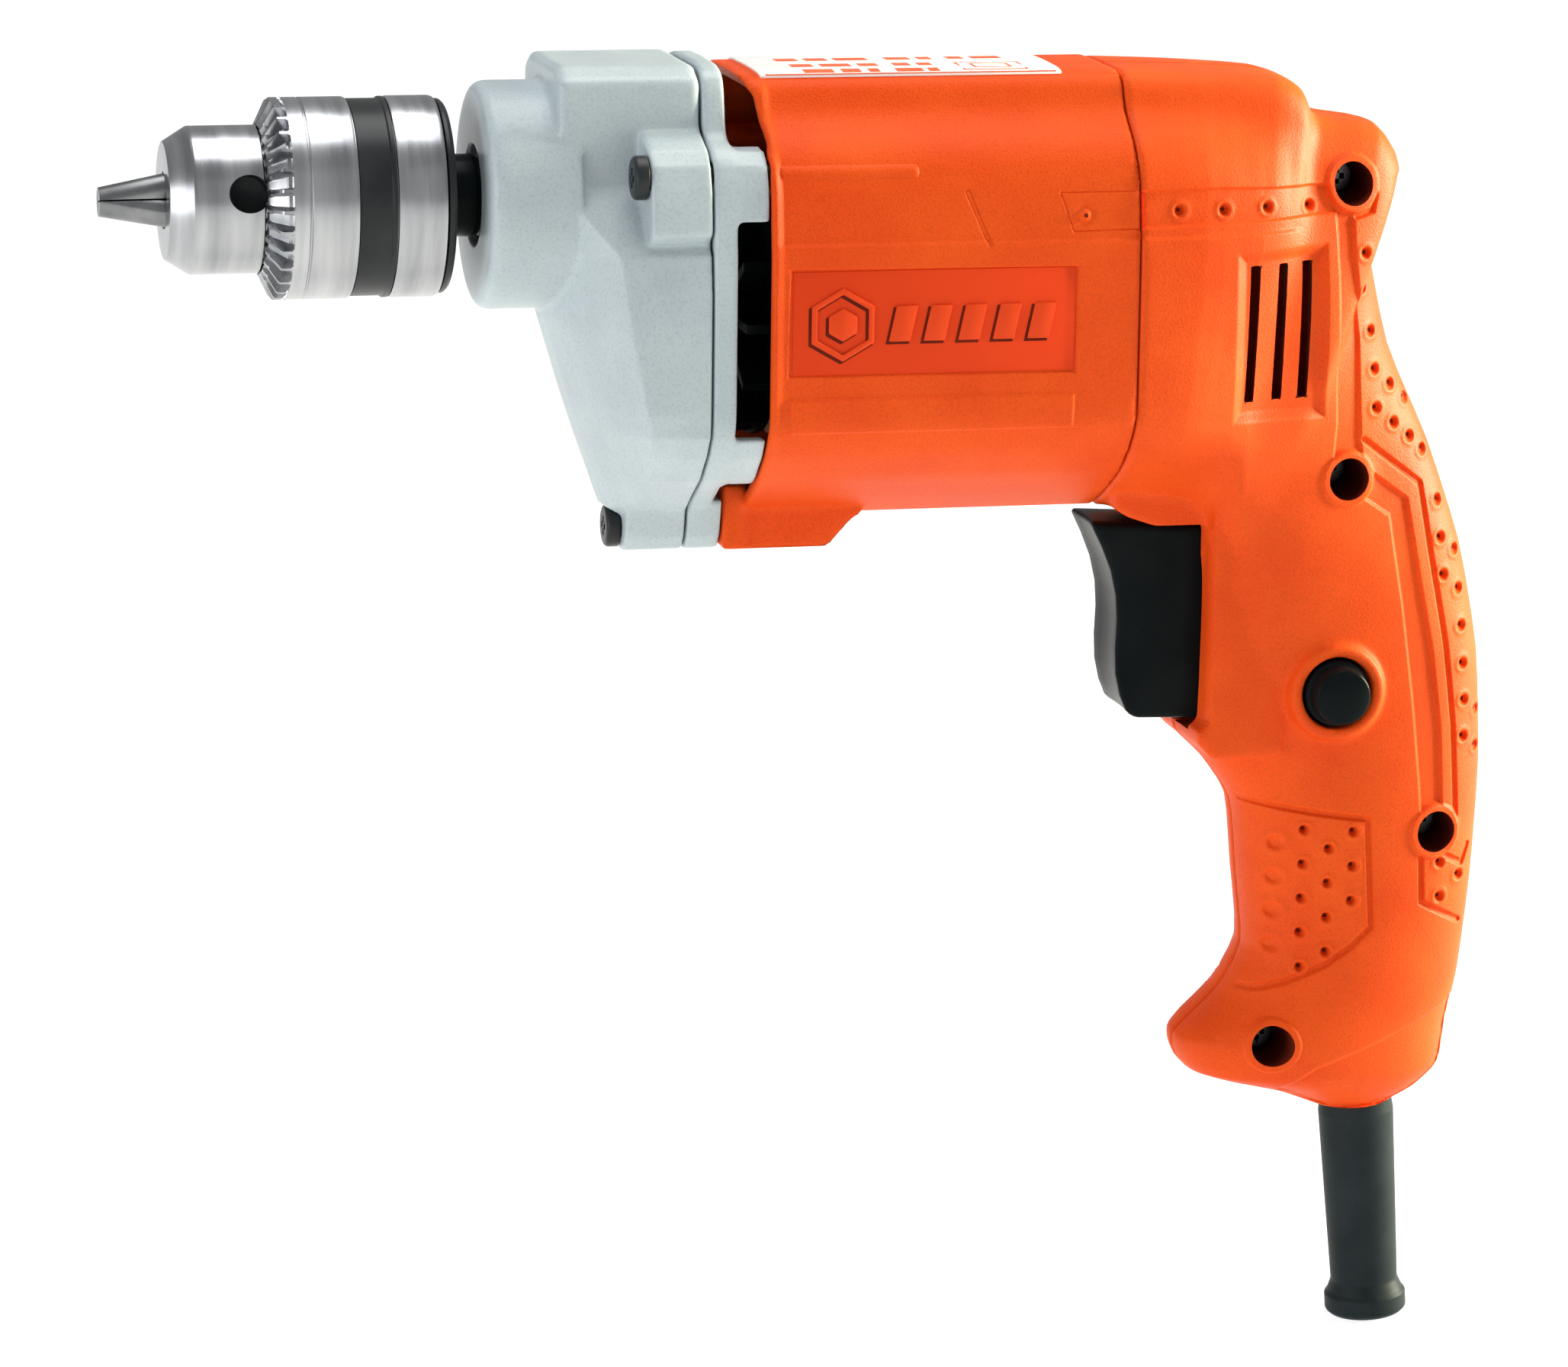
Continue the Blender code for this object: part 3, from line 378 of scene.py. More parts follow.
def span(side, start, end):
    """Two distances from the middle as the lower and the higher y on one side."""
    return sorted((side * start, side * end))


def mirrored(half):
    """Close a half outline that runs from the top middle to the bottom middle."""
    return list(half) + [(-y, z) for y, z in reversed(half[1:-1])]


def finer(points, longest):
    """Add points along a closed outline, so that no side is longer than the given length."""
    dense = []
    for here, after in zip(points, points[1:] + points[:1]):
        here, after = Vector(here), Vector(after)
        parts = max(1, math.ceil((after - here).length / longest))
        dense += [tuple(here.lerp(after, k / parts)) for k in range(parts)]
    return dense


def eased(points, passes):
    """Round the corners of a closed outline by averaging neighbours."""
    for _ in range(passes):
        points = [tuple((Vector(a) + Vector(b) * 2 + Vector(c)) / 4)
                  for a, b, c in zip(points[-1:] + points[:-1], points, points[1:] + points[:1])]
    return points


def rounded(corners, steps=5):
    """Round each corner (u, v, radius) of a closed outline."""
    smooth = []
    for k, (u, v, radius) in enumerate(corners):
        here = Vector((u, v))
        if radius == 0:
            smooth.append((u, v))
            continue
        before = Vector(corners[k - 1][:2]) - here
        after = Vector(corners[(k + 1) % len(corners)][:2]) - here
        reach = min(radius / math.tan(before.angle(after) / 2), 0.48 * before.length, 0.48 * after.length)
        start = here + before.normalized() * reach
        end = here + after.normalized() * reach
        for j in range(steps + 1):
            share = j / steps
            one, two = start.lerp(here, share), here.lerp(end, share)
            smooth.append(tuple(one.lerp(two, share)))
    return smooth


def inset(outline, distance):
    """Move every side of a closed outline inwards by the same distance."""
    area = sum(a[0] * b[1] - b[0] * a[1] for a, b in zip(outline, outline[1:] + outline[:1]))
    sign = 1 if area > 0 else -1
    moved = []
    for before, here, after in zip(outline[-1:] + outline[:-1], outline, outline[1:] + outline[:1]):
        one = (Vector(here) - Vector(before)).normalized()
        two = (Vector(after) - Vector(here)).normalized()
        inward = (Vector((-one.y, one.x)) + Vector((-two.y, two.x))).normalized() * sign
        lean = inward.dot(Vector((-one.y, one.x)) * sign)
        moved.append(tuple(Vector(here) + inward * distance / lean))
    return moved


def around(radius, angle):
    """A point on a circle, its angle counted from the first axis towards the second."""
    return radius * math.cos(angle), radius * math.sin(angle)


# --- details pressed into a moulded side ---

def side_points(piece):
    """The vertices in the drill's frame in millimetres, with their normals."""
    count = len(piece.data.vertices)
    points = np.empty(count * 3)
    normals = np.empty(count * 3)
    piece.data.vertices.foreach_get("co", points)
    piece.data.vertex_normals.foreach_get("vector", normals)
    points = points.reshape(-1, 3) / MM + (MIDDLE_X, 0, LOWEST_Z)
    return points, normals.reshape(-1, 3)


def line_distance(spots, line):
    """Distance in (x, z) of each point from an open line."""
    nearest = np.full(len(spots), 1e9)
    for a, b in zip(line, line[1:]):
        a, b = np.array(a), np.array(b)
        share = np.clip((spots - a) @ (b - a) / ((b - a) @ (b - a)), 0, 1)
        nearest = np.minimum(nearest, np.linalg.norm(spots - a - share[:, None] * (b - a), axis=1))
    return nearest


def depth_inside(spots, outline):
    """Distance of each point inside a closed outline from its edge, and less than 0 outside."""
    closed = list(outline) + [outline[0]]
    inside = np.zeros(len(spots), bool)
    for (ax, az), (bx, bz) in zip(closed, closed[1:]):
        spans = (az > spots[:, 1]) != (bz > spots[:, 1])
        level = (spots[:, 1] - az) / np.where(bz == az, 1e-9, bz - az)
        inside ^= spans & (spots[:, 0] < ax + level * (bx - ax))
    return np.where(inside, 1, -1) * line_distance(spots, closed)


def ramp(value, start, end):
    """A smooth step from 0 at start to 1 at end."""
    share = np.clip((value - start) / (end - start), 0, 1)
    return share * share * (3 - 2 * share)


def groove(spots, line, depth, half_width):
    return depth * ramp(line_distance(spots, line), half_width, half_width * 0.25)


def recess(spots, outline, depth, slope):
    return depth * ramp(depth_inside(spots, outline), 0, slope)


def dimple(spots, centre, depth, radius):
    away = np.linalg.norm(spots - np.array(centre), axis=1)
    lip = 0.18 * ramp(away, radius * 1.9, radius * 1.3) * ramp(away, radius * 0.8, radius * 1.2)
    return depth * ramp(away, radius, radius * 0.35) - lip


def palm_dots(x, first, count):
    return [(x, first - k * PALM_PITCH) for k in range(count)]


def shelf(spots, end_x):
    """The flank above the ridge, set in from the motor's wide side as far back as end_x."""
    level = ramp(spots[:, 1], RIDGE_Z - 0.5, RIDGE_Z + 0.5) * ramp(spots[:, 1], 12.0, 5.0)
    return SHELF_DEPTH * level * ramp(spots[:, 0], end_x, end_x - 4.0)


def handle_details(spots):
    """How far the handle's side is pressed in at each point (x, z)."""
    deep = np.maximum(recess(spots, STRIP, 0.75, 0.7), recess(spots, UPPER_CHANNEL, 0.8, 0.8))
    deep = np.maximum(deep, recess(spots, LOWER_CHANNEL, 0.8, 0.8))
    for line in (BACK_LINE, TOP_HOOK, PALM_LINE, LOW_PANEL_LINE, CATCH_LINE):
        deep = np.maximum(deep, groove(spots, line, 0.75, 0.8))
    deep = np.maximum(deep, recess(spots, VENT_OUTER, 1.5, 2.6))
    deep += shelf(spots, 150.0)
    deep += 1.5 * ramp(depth_inside(spots, COLLAR_LINE + ((200.0, -180.0), (200.0, -154.0))), 0, 1.3)
    for centre in STRIP_DOTS[1:] + BACK_DOTS:
        deep += dimple(spots, centre, 1.2, 1.2)
    for column in PALM_DOTS:
        for centre in palm_dots(*column):
            deep += dimple(spots, centre, 1.4, 1.05)
    for centre in palm_dots(*PALM_DOTS_WIDE):
        deep += dimple(spots, centre, 0.8, 1.6)
    for x, z, _ in HANDLE_SCREWS:
        away = np.linalg.norm(spots - (x, z), axis=1)
        deep = np.where(away < 6.0, deep * ramp(away, 4.6, 6.0), deep)
        deep -= 0.45 * ramp(away, 5.6, 4.9)
    return deep


def housing_details(spots):
    """How far the motor housing's side is pressed in at each point (x, z)."""
    deep = np.maximum(recess(spots, STRIP, 0.5, 0.6), groove(spots, SLANT_LINE, 0.4, 0.7))
    deep += shelf(spots, 130.0)
    deep = np.maximum(deep, recess(spots, SIDE_PANEL, 0.5, 0.35))
    deep += dimple(spots, STRIP_DOTS[0], 0.7, 1.1)
    deep += BAR_HEIGHT - BAR_HEIGHT * ramp(depth_inside(spots, BAR_PANEL), 0, 0.6)
    return deep * ramp(spots[:, 0], HOUSING_X[0] + 0.6, HOUSING_X[0] + 2.4)


def refine(piece, wanted):
    """Split the squares that a fine detail crosses."""
    shape = bmesh.new()
    shape.from_mesh(piece.data)
    shape.verts.ensure_lookup_table()
    edges = [edge for edge in shape.edges if wanted[edge.verts[0].index] and wanted[edge.verts[1].index]]
    bmesh.ops.subdivide_edges(shape, edges=edges, cuts=1, use_grid_fill=True)
    shape.to_mesh(piece.data)
    shape.free()


def press(piece, details, side, least_facing=0.3):
    """Press the details into the side that faces away from the middle."""
    for _ in range(2):
        points, normals = side_points(piece)
        facing = normals[:, 1] * side > least_facing
        spots = points[:, (0, 2)]
        deep = details(spots)
        change = np.zeros(len(spots), bool)
        for shift in ((0.7, 0), (0, 0.7), (-0.7, 0), (0, -0.7)):
            change |= np.abs(details(spots + shift) - deep) > 0.12
        refine(piece, change & facing)
    points, normals = side_points(piece)
    facing = ramp(normals[:, 1] * side, least_facing - 0.1, least_facing + 0.1)
    points[:, 1] -= side * details(points[:, (0, 2)]) * facing
    moved = (points - (MIDDLE_X, 0, LOWEST_Z)) * MM
    piece.data.vertices.foreach_set("co", moved.ravel())
    piece.data.update()


# --- materials ---

def add_node(tree, kind, source=None, **values):
    """A new node with the given input values, fed from a source socket where one is given."""
    node = tree.nodes.new(kind)
    for name, value in values.items():
        node.inputs[name.replace("_", " ")].default_value = value
    if source is not None:
        socket, name = source
        tree.links.new(socket, node.inputs[name])
    return node


def grained(name, dark, light, rough, metallic=0.0, patch=40.0, grain=2200.0, bump=0.2,
            height=0.04, coat=0.0, specks=0.0, stretch=(1, 1, 1), shine=0.5):
    """A surface with patches of tone, a fine grain in its height and an uneven gloss."""
    made = bpy.data.materials.new(name)
    made.use_nodes = True
    tree = made.node_tree
    shader = tree.nodes["Principled BSDF"]
    shader.inputs["Metallic"].default_value = metallic
    shader.inputs["Specular IOR Level"].default_value = shine
    shader.inputs["Coat Weight"].default_value = coat
    shader.inputs["Coat Roughness"].default_value = 0.25
    place = tree.nodes.new("ShaderNodeTexCoord").outputs["Object"]
    spread = add_node(tree, "ShaderNodeMapping", (place, "Vector"), Scale=stretch).outputs["Vector"]
    tone = add_node(tree, "ShaderNodeTexNoise", (spread, "Vector"), Scale=patch, Detail=5.0)
    fine = add_node(tree, "ShaderNodeTexNoise", (spread, "Vector"), Scale=grain, Detail=2.0)
    tone, fine = tone.outputs["Fac"], fine.outputs["Fac"]
    colours = add_node(tree, "ShaderNodeValToRGB", (tone, "Fac"))
    for element, colour, position in zip(colours.color_ramp.elements, (dark, light), (0.3, 0.7)):
        element.color = (*colour, 1)
        element.position = position
    colour = colours.outputs["Color"]
    if specks:
        spots = add_node(tree, "ShaderNodeMapRange", (fine, "Value"), From_Min=0.36, From_Max=0.5,
                         To_Min=1 - specks)
        darker = tree.nodes.new("ShaderNodeMix")
        darker.data_type = "RGBA"
        darker.blend_type = "MULTIPLY"
        darker.inputs["Factor"].default_value = 1.0
        tree.links.new(colour, darker.inputs["A"])
        tree.links.new(spots.outputs["Result"], darker.inputs["B"])
        colour = darker.outputs["Result"]
    tree.links.new(colour, shader.inputs["Base Color"])
    gloss = add_node(tree, "ShaderNodeMapRange", (tone, "Value"), To_Min=rough[0], To_Max=rough[1])
    tree.links.new(gloss.outputs["Result"], shader.inputs["Roughness"])
    relief = add_node(tree, "ShaderNodeBump", (fine, "Height"), Strength=bump, Distance=height * MM)
    tree.links.new(relief.outputs["Normal"], shader.inputs["Normal"])
    return made


ORANGE = grained("orange_plastic_look", (0.71, 0.064, 0.006), (0.79, 0.088, 0.009), (0.42, 0.55),
                 patch=55, grain=2600, bump=0.8, height=0.1, specks=0.12, shine=0.1)
ORANGE_PANEL = grained("orange_smooth_look", (0.68, 0.048, 0.008), (0.72, 0.054, 0.010), (0.5, 0.6),
                       patch=55, grain=1800, bump=0.08, height=0.03, shine=0.08)
EMBLEM = grained("emblem_look", (0.70, 0.055, 0.009), (0.75, 0.062, 0.011), (0.4, 0.5), patch=90,
                 grain=1800, bump=0.1, height=0.03, shine=0.1)
SHADE = grained("orange_shade_look", (0.10, 0.012, 0.005), (0.15, 0.018, 0.008), (0.6, 0.75), patch=160,
                grain=1900, bump=0.2, height=0.05, shine=0.05)
CAST = grained("cast_grey_look", (0.41, 0.475, 0.505), (0.46, 0.53, 0.555), (0.3, 0.42), patch=90,
               grain=1900, bump=0.14, height=0.04, coat=0.1, specks=0.10, shine=0.3)
STEEL = grained("turned_steel_look", (0.30, 0.31, 0.325), (0.50, 0.51, 0.525), (0.2, 0.36), metallic=1.0,
                patch=60, grain=900, bump=0.12, height=0.02, stretch=(5, 0.35, 0.35))
DARK_STEEL = grained("jaw_steel_look", (0.12, 0.125, 0.13), (0.26, 0.265, 0.27), (0.22, 0.4), metallic=1.0,
                     patch=160, grain=1400, bump=0.15, height=0.02)
STEEL_SHADE = grained("steel_shade_look", (0.02, 0.022, 0.024), (0.045, 0.047, 0.05), (0.4, 0.55),
                      metallic=0.6, patch=160, grain=1400, bump=0.15, height=0.02, shine=0.2)
OXIDE = grained("black_oxide_look", (0.010, 0.012, 0.013), (0.022, 0.025, 0.027), (0.3, 0.42), patch=120,
                grain=1500, bump=0.1, height=0.02, shine=0.25)
BLACK = grained("black_plastic_look", (0.003, 0.005, 0.0055), (0.0065, 0.009, 0.0095), (0.22, 0.32),
                patch=80, grain=1700, bump=0.08, height=0.03, shine=0.04)
RUBBER = grained("rubber_look", (0.011, 0.017, 0.019), (0.018, 0.026, 0.029), (0.4, 0.55), patch=130,
                 grain=1300, bump=0.25, height=0.05, shine=0.08)
COPPER = grained("copper_look", (0.55, 0.20, 0.08), (0.75, 0.33, 0.16), (0.28, 0.42), metallic=1.0,
                 patch=400, grain=900, bump=0.4, height=0.1, stretch=(8, 1, 1))
LAMINATION = grained("lamination_look", (0.10, 0.105, 0.11), (0.24, 0.245, 0.25), (0.4, 0.6), metallic=0.9,
                     patch=300, grain=1500, bump=0.5, height=0.08, stretch=(6, 0.4, 0.4))
CARBON = grained("carbon_look", (0.02, 0.02, 0.02), (0.045, 0.045, 0.045), (0.45, 0.6), patch=300,
                 grain=2500, bump=0.2)
PAPER = grained("label_look", (0.86, 0.85, 0.83), (0.92, 0.91, 0.89), (0.35, 0.45), patch=60, grain=1500,
                bump=0.05, shine=0.3)
PRINT = grained("label_print_look", (0.66, 0.10, 0.03), (0.74, 0.13, 0.04), (0.4, 0.5), patch=200, grain=1500,
                bump=0.05, shine=0.2)

node_looks = {"steel": STEEL, "cast_grey": CAST, "orange_plastic": ORANGE, "black_plastic": BLACK,
              "black_steel": OXIDE, "rubber": RUBBER, "copper": COPPER, "lamination": LAMINATION,
              "carbon": CARBON, "label": PAPER}


def place(piece, body, slot_name, look, *nodes, sharp=30):
    """Give a finished piece its look and its body, and hide the CAD nodes that it stands for."""
    piece.data.materials.clear()
    piece.data.materials.append(look)
    piece.data.shade_smooth()
    if sharp:
        piece.data.set_sharp_from_angle(angle=math.radians(sharp))
    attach(piece, body)
    if nodes:
        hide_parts(*nodes)
    return piece


def shade_inside(piece, look, *tests):
    """Give a second look to the faces whose middles pass one of the tests, as in the drill's frame."""
    piece.data.materials.append(look)
    count = len(piece.data.polygons)
    middles = np.empty(count * 3)
    piece.data.polygons.foreach_get("center", middles)
    middles = middles.reshape(-1, 3) / MM + (MIDDLE_X, 0, LOWEST_Z)
    slots = np.zeros(count, np.int32)
    for test in tests:
        slots[test(middles)] = 1
    piece.data.polygons.foreach_set("material_index", slots)


def within_rod(at, axis, radius, start, end):
    """Test for points in a cylinder round an axis, between two distances along it."""
    axis = np.array(axis) / np.linalg.norm(axis)

    def test(points):
        away = points - np.array(at)
        along = away @ axis
        far = np.linalg.norm(away - along[:, None] * axis, axis=1)
        return (far < radius) & (along > start) & (along < end)
    return test


def within_box(low, high):
    return lambda points: np.all((points > low) & (points < high), axis=1)


# --- chuck ---

def jaw_angles():
    """The jaws sit midway between the key holes."""
    return [KEY_HOLE_ANGLE + TURN / 6 + k * TURN / 3 for k in range(3)]


def jaw_axis(angle):
    return Vector((math.cos(JAW_SLOPE), *around(math.sin(JAW_SLOPE), angle)))


def jaw_start(angle):
    """Middle of a jaw's bar at the jaws' front end."""
    return JAW_TIP_X, *around(JAW_TIP_R - JAW_R / math.cos(JAW_SLOPE), angle)


def make_jaw(number, angle):
    """A round bar on the jaw's slope, cut flat where the three jaws meet and at its tip."""
    length = (JAW_REAR_X - JAW_TIP_X) / math.cos(JAW_SLOPE)
    start = Vector(jaw_start(angle))
    jaw = rod(f"jaw_{number}_bar", JAW_R - 0.05, -4, length - 0.3, start, jaw_axis(angle), 64)
    shape = bmesh.new()
    shape.from_mesh(jaw.data)
    planes = [(Vector((JAW_TIP_X + 0.05, 0, 0)), Vector((-1, 0, 0)))]
    for lean in (-TURN / 12, TURN / 12):
        inward = Vector((0, *around(1, angle + lean)))
        planes.append((inward * 0.16, -inward))
    for through, outside in planes:
        everything = shape.verts[:] + shape.edges[:] + shape.faces[:]
        bmesh.ops.bisect_plane(shape, geom=everything, plane_co=spot(*through), plane_no=outside,
                               clear_outer=True)
        bmesh.ops.contextual_create(shape, geom=[edge for edge in shape.edges if edge.is_boundary])
    bmesh.ops.recalc_face_normals(shape, faces=shape.faces)
    shape.to_mesh(jaw.data)
    shape.free()
    soften(jaw, 0.4, 3, 50)
    place(jaw, f"jaw_{number}", "steel", DARK_STEEL, f"jaw_{number}")


def make_chuck_body():
    profile = rounded(((4.9, CHUCK_FRONT_X, 0.3), (10.5, CHUCK_FRONT_X, 0.5), (13.05, -51.6, 0.3),
                       (BODY_R, -51.2, 0.2), (BODY_R, -39.2, 0.2), (12.2, -38.9, 0), (12.2, -10.5, 0),
                       (14.8, -9.9, 0), (14.8, -7.4, 0), (12.0, -7.2, 0), (12.0, BODY_REAR_X, 0),
                       (5.0, BODY_REAR_X, 0), (5.0, -28.2, 0), (4.9, -28.3, 0)), 3)
    body = turned("chuck_body_turned", profile, steps=CHUCK_STEPS)
    for angle in jaw_angles():
        cut(body, rod("channel", JAW_R + GAP, -8, 55.5, jaw_start(angle), jaw_axis(angle), 48))
    wells = []
    for k in range(3):
        out = (0, *around(1, KEY_HOLE_ANGLE + k * TURN / 3))
        drilled = ((0, 6.2), (KEY_HOLE_R, 8.4), (KEY_HOLE_R, 12.75), (KEY_HOLE_R + 0.3, 13.15),
                   (KEY_HOLE_R + 0.3, 20), (0, 20))
        cut(body, turned("key_hole", drilled, (KEY_HOLE_X, 0, 0), out, 64))
        wells.append(within_rod((KEY_HOLE_X, 0, 0), out, KEY_HOLE_R + 0.05, 5, 12.75))
    place(body, "spindle", "steel", STEEL, "chuck_body", sharp=25)
    shade_inside(body, STEEL_SHADE, *wells)


def make_chuck_sleeve():
    """A shell whose front edge carries bevel teeth for the chuck key."""
    cone = [(13.45 + 4.3 * k / 7, SLEEVE_FRONT_X + 2.15 * k / 7, 0.7 + 1.8 * k / 7) for k in range(8)]
    barrel = [(SLEEVE_R, -36.5 + 1.9 * k / 7, 2.4 * math.sqrt(max(0, 1 - (k / 7) ** 2))) for k in range(8)]
    plain = [(radius, x, 0) for radius, x in (
        (18.0, -34.2), (18.0, -31.9), (17.78, -31.7), (17.78, -31.5), (18.0, -31.3), (18.0, -23.6),
        (17.85, -23.2), (17.3, -23.1), (17.3, -16.1), (17.85, -16.0), (18.0, -15.6), (18.0, -8.0),
        (17.8, -7.4), (17.4, -7.3), (15.3, -7.3), (15.3, -36.0), (13.5, -38.2))]
    per_tooth = 14
    full_depth, shaded_depth = 1.6, 0.3
    shape = bmesh.new()
    rows = []
    gullets = set()
    for radius, x, depth in cone + barrel + plain:
        row = []
        gullet = 0.82 if depth > full_depth else 0.5 + 0.32 * depth / full_depth
        for k in range(SLEEVE_TEETH * per_tooth):
            phase = abs((k % per_tooth) / per_tooth - 0.5) * 2
            pressed = depth * float(ramp(np.array(phase), gullet, gullet - 0.22))
            turn = k * TURN / (SLEEVE_TEETH * per_tooth)
            row.append(shape.verts.new(spot(x + pressed * 0.5, *around(radius - pressed * 0.8, turn))))
            if pressed > shaded_depth:
                gullets.add(row[-1])
        rows.append(row)
    skin_rows(shape, rows, True)
    for face in shape.faces:
        face.material_index = int(gullets.issuperset(face.verts))
    sleeve = show("chuck_sleeve_toothed", shape)
    place(sleeve, "chuck_sleeve", "steel", STEEL, "chuck_sleeve", sharp=32)
    sleeve.data.materials.append(STEEL_SHADE)


def make_chuck():
    make_chuck_body()
    make_chuck_sleeve()
    band = rounded(((17.3, -23.0, 0), (17.62, -22.9, 0.15), (17.62, -17.2, 0.15), (17.95, -17.0, 0.1),
                    (17.95, -16.25, 0.1), (17.3, -16.15, 0)), 3)
    place(turned("chuck_band_turned", band, steps=CHUCK_STEPS), "chuck_sleeve", "black_steel", OXIDE,
          "chuck_grip_band")
    rim = rounded(((12.3, -7.0, 0), (17.4, -7.0, 0.2), (17.4, -6.2, 0.5), (16.8, -5.55, 0.4),
                   (12.3, -5.55, 0.3)), 3)
    place(turned("chuck_rim_turned", rim, steps=CHUCK_STEPS), "spindle", "black_steel", OXIDE,
          "chuck_rear_ring")
    collar = rounded(((6.3, -4.9, 0.1), (7.4, -4.9, 0.35), (7.4, -0.4, 0.15), (7.0, -0.1, 0.1),
                      (7.0, 0.5, 0.1), (7.4, 0.8, 0.15), (7.4, 2.6, 0.2), (6.3, 2.6, 0.1)), 3)
    place(turned("spindle_collar_turned", collar), "spindle", "black_plastic", BLACK, "spindle_collar")
    for k, angle in enumerate(jaw_angles()):
        make_jaw(k + 1, angle)


# --- gear case, mid cover and their screws ---

def boss_outline():
    """Rounded foot for the bottom screw, as (y, z)."""
    half = ((8.5, -55.5), (6.6, -62.4), (4.6, -64.9), (2.0, -65.5))
    return list(half) + [(-y, z) for y, z in reversed(half)]


def case_screws():
    return (("near", -TOP_SCREW_Y, TOP_SCREW_Z), ("far", TOP_SCREW_Y, TOP_SCREW_Z),
            ("bottom", 0, LOW_SCREW_Z))


def screw_holes(start, end):
    return [rod(f"hole_{name}", SCREW_HOLE_R, start, end, (0, y, z), steps=24)
            for name, y, z in case_screws()]


def wedge_ring(z, front_x, crease_x, crease_y, rear_y):
    """One level of the gear case's wedge: a blunt curved front between two creases."""
    front = []
    for k in range(1, 12):
        far = 1 - k / 6
        front.append((front_x + (crease_x - front_x) * abs(far) ** 1.7, -crease_y * far, z))
    rear_x = CASE_REAR_X
    return [(rear_x, -rear_y, z), (crease_x, -crease_y, z), *front, (crease_x, crease_y, z),
            (rear_x, rear_y, z)]


def make_gear_case():
    """The lower wedge, the flat-sided top, the round nose and the screw bosses in one casting."""
    case = loft("gear_case_casting", [wedge_ring(*level) for level in WEDGE_LEVELS])
    top = rounded(((-17.4, -2, 0), (-17.2, 22, 2.6), (-12.4, 24.3, 3), (12.4, 24.3, 3), (17.2, 22, 2.6),
                   (17.4, -2, 0)), 4)
    upper = soften(prism("upper", top, 12.4, CASE_REAR_X), 1.4, 3, 50)
    nose = rounded(((0, 16.5, 0), (NOSE_R, 16.5, 0), (NOSE_R, 0.0, 2.6), (0, 0.0, 0)), 6)
    pieces = [upper, turned("nose", nose), prism("foot", boss_outline(), SCREW_SEAT_X, CASE_REAR_X)]
    for side in (-1, 1):
        boss = [(side * y, z) for y, z in ((15, 15.6), (18.2, 13.0), (24.6, 10.6), (27.4, 8), (28.9, 4),
                                           (29.6, -3.8), (27.4, -5.6), (15, -5.6))]
        pieces.append(prism("boss", boss, SCREW_SEAT_X, CASE_REAR_X))
    merge(case, *pieces)
    even_skin(case, CAST_SKIN, 1)
    low_room = rod("low_head_room", SCREW_HEAD_R + 0.35, 10, SCREW_SEAT_X - 0.1, (0, 0, LOW_SCREW_Z))
    cut(case, low_room, rod("gear_room", *GEAR_ROOM), rod("pinion_room", *PINION_ROOM, (0, 0, MOTOR_Z)),
        block("grease_room", (29.5, -16, -47), (45, 16, -30.8)), rod("nose_hole", *NOSE_HOLE),
        rod("bearing_seat", *FRONT_SEAT), *screw_holes(20, 45))
    even_skin(case, CAST_SKIN, 4)
    place(case, "drill_body", "cast_grey", CAST, "gear_case", sharp=0)


def make_mid_cover():
    flange = eased(finer(mirrored(FLANGE_HALF), 2.5), 2)
    cover = prism("mid_cover_casting", flange, *COVER_X)
    end = HOUSING_X[0] - GAP
    merge(cover, prism("foot", boss_outline(), COVER_X[0], FOOT_END_X))
    for side in (-1, 1):
        post = [(side * y, z) for y, z in ((19.6, 10.6), (24.4, 10.2), (27.2, 7.9), (28.7, 4),
                                           (29.3, -1.8), (24.6, -1.8), (20.2, 1.6))]
        leg = [(side * y, z) for y, z in ((28.2, -41), (25.8, -44.6), (20.2, -49.4), (17.5, -51),
                                          (15.5, -47.5), (18.5, -45.5), (24.2, -41))]
        merge(cover, prism("post", post, COVER_X[0] + 1, end), prism("leg", leg, COVER_X[0] + 1, end))
    merge(cover, rod("bearing_boss", 12.4, COVER_X[0] + 1, 44.6, (0, 0, MOTOR_Z), steps=64))
    even_skin(cover, SKIN * 0.9, 1)
    cut(cover, rod("bush_seat", *BUSH_SEAT), rod("bearing_seat", *MOTOR_SEAT, (0, 0, MOTOR_Z)),
        *screw_holes(30, 60))
    even_skin(cover, CAST_SKIN, 4)
    place(cover, "drill_body", "cast_grey", CAST, "mid_cover", sharp=0)


def cross(name, size, depth, start, at, axis):
    """A cutter for the recess of a cross-head screw, tapering inwards."""
    shape = bmesh.new()
    for turn in (0, TURN / 4):
        rows = []
        for far, width, thick in ((start + 1, size, 0.62), (start - depth, size * 0.45, 0.4)):
            corners = ((-width, -thick), (width, -thick), (width, thick), (-width, thick))
            rows.append([shape.verts.new(Matrix.Rotation(turn, 3, "Z") @ Vector((u, v, far)) * MM)
                         for u, v in corners])
        skin_rows(shape, rows)
        shape.faces.new(list(reversed(rows[0])))
        shape.faces.new(rows[1])
    bmesh.ops.transform(shape, matrix=Matrix.Translation(spot(*at)) @ aim(axis), verts=shape.verts)
    return show(name, shape)


def make_case_screws():
    for name, y, z in case_screws():
        end = 74.0 if z > 0 else 64.0
        profile = rounded(((0, -SCREW_HEAD_X, 0), (SCREW_HEAD_R, -SCREW_HEAD_X, 1.0),
                           (SCREW_HEAD_R, -SCREW_SEAT_X + GAP, 0.2),
                           (2.0, -SCREW_SEAT_X + GAP, 0), (2.0, -end, 0), (0, -end, 0)), 5)
        screw = turned(f"case_screw_{name}_turned", profile, (0, y, z), (-1, 0, 0), 64)
        cut(screw, cross("cross", 2.3, 1.6, -SCREW_HEAD_X, (0, y, z), (-1, 0, 0)))
        place(screw, "drill_body", "black_steel", OXIDE, f"case_screw_{name}")


# --- motor housing ---

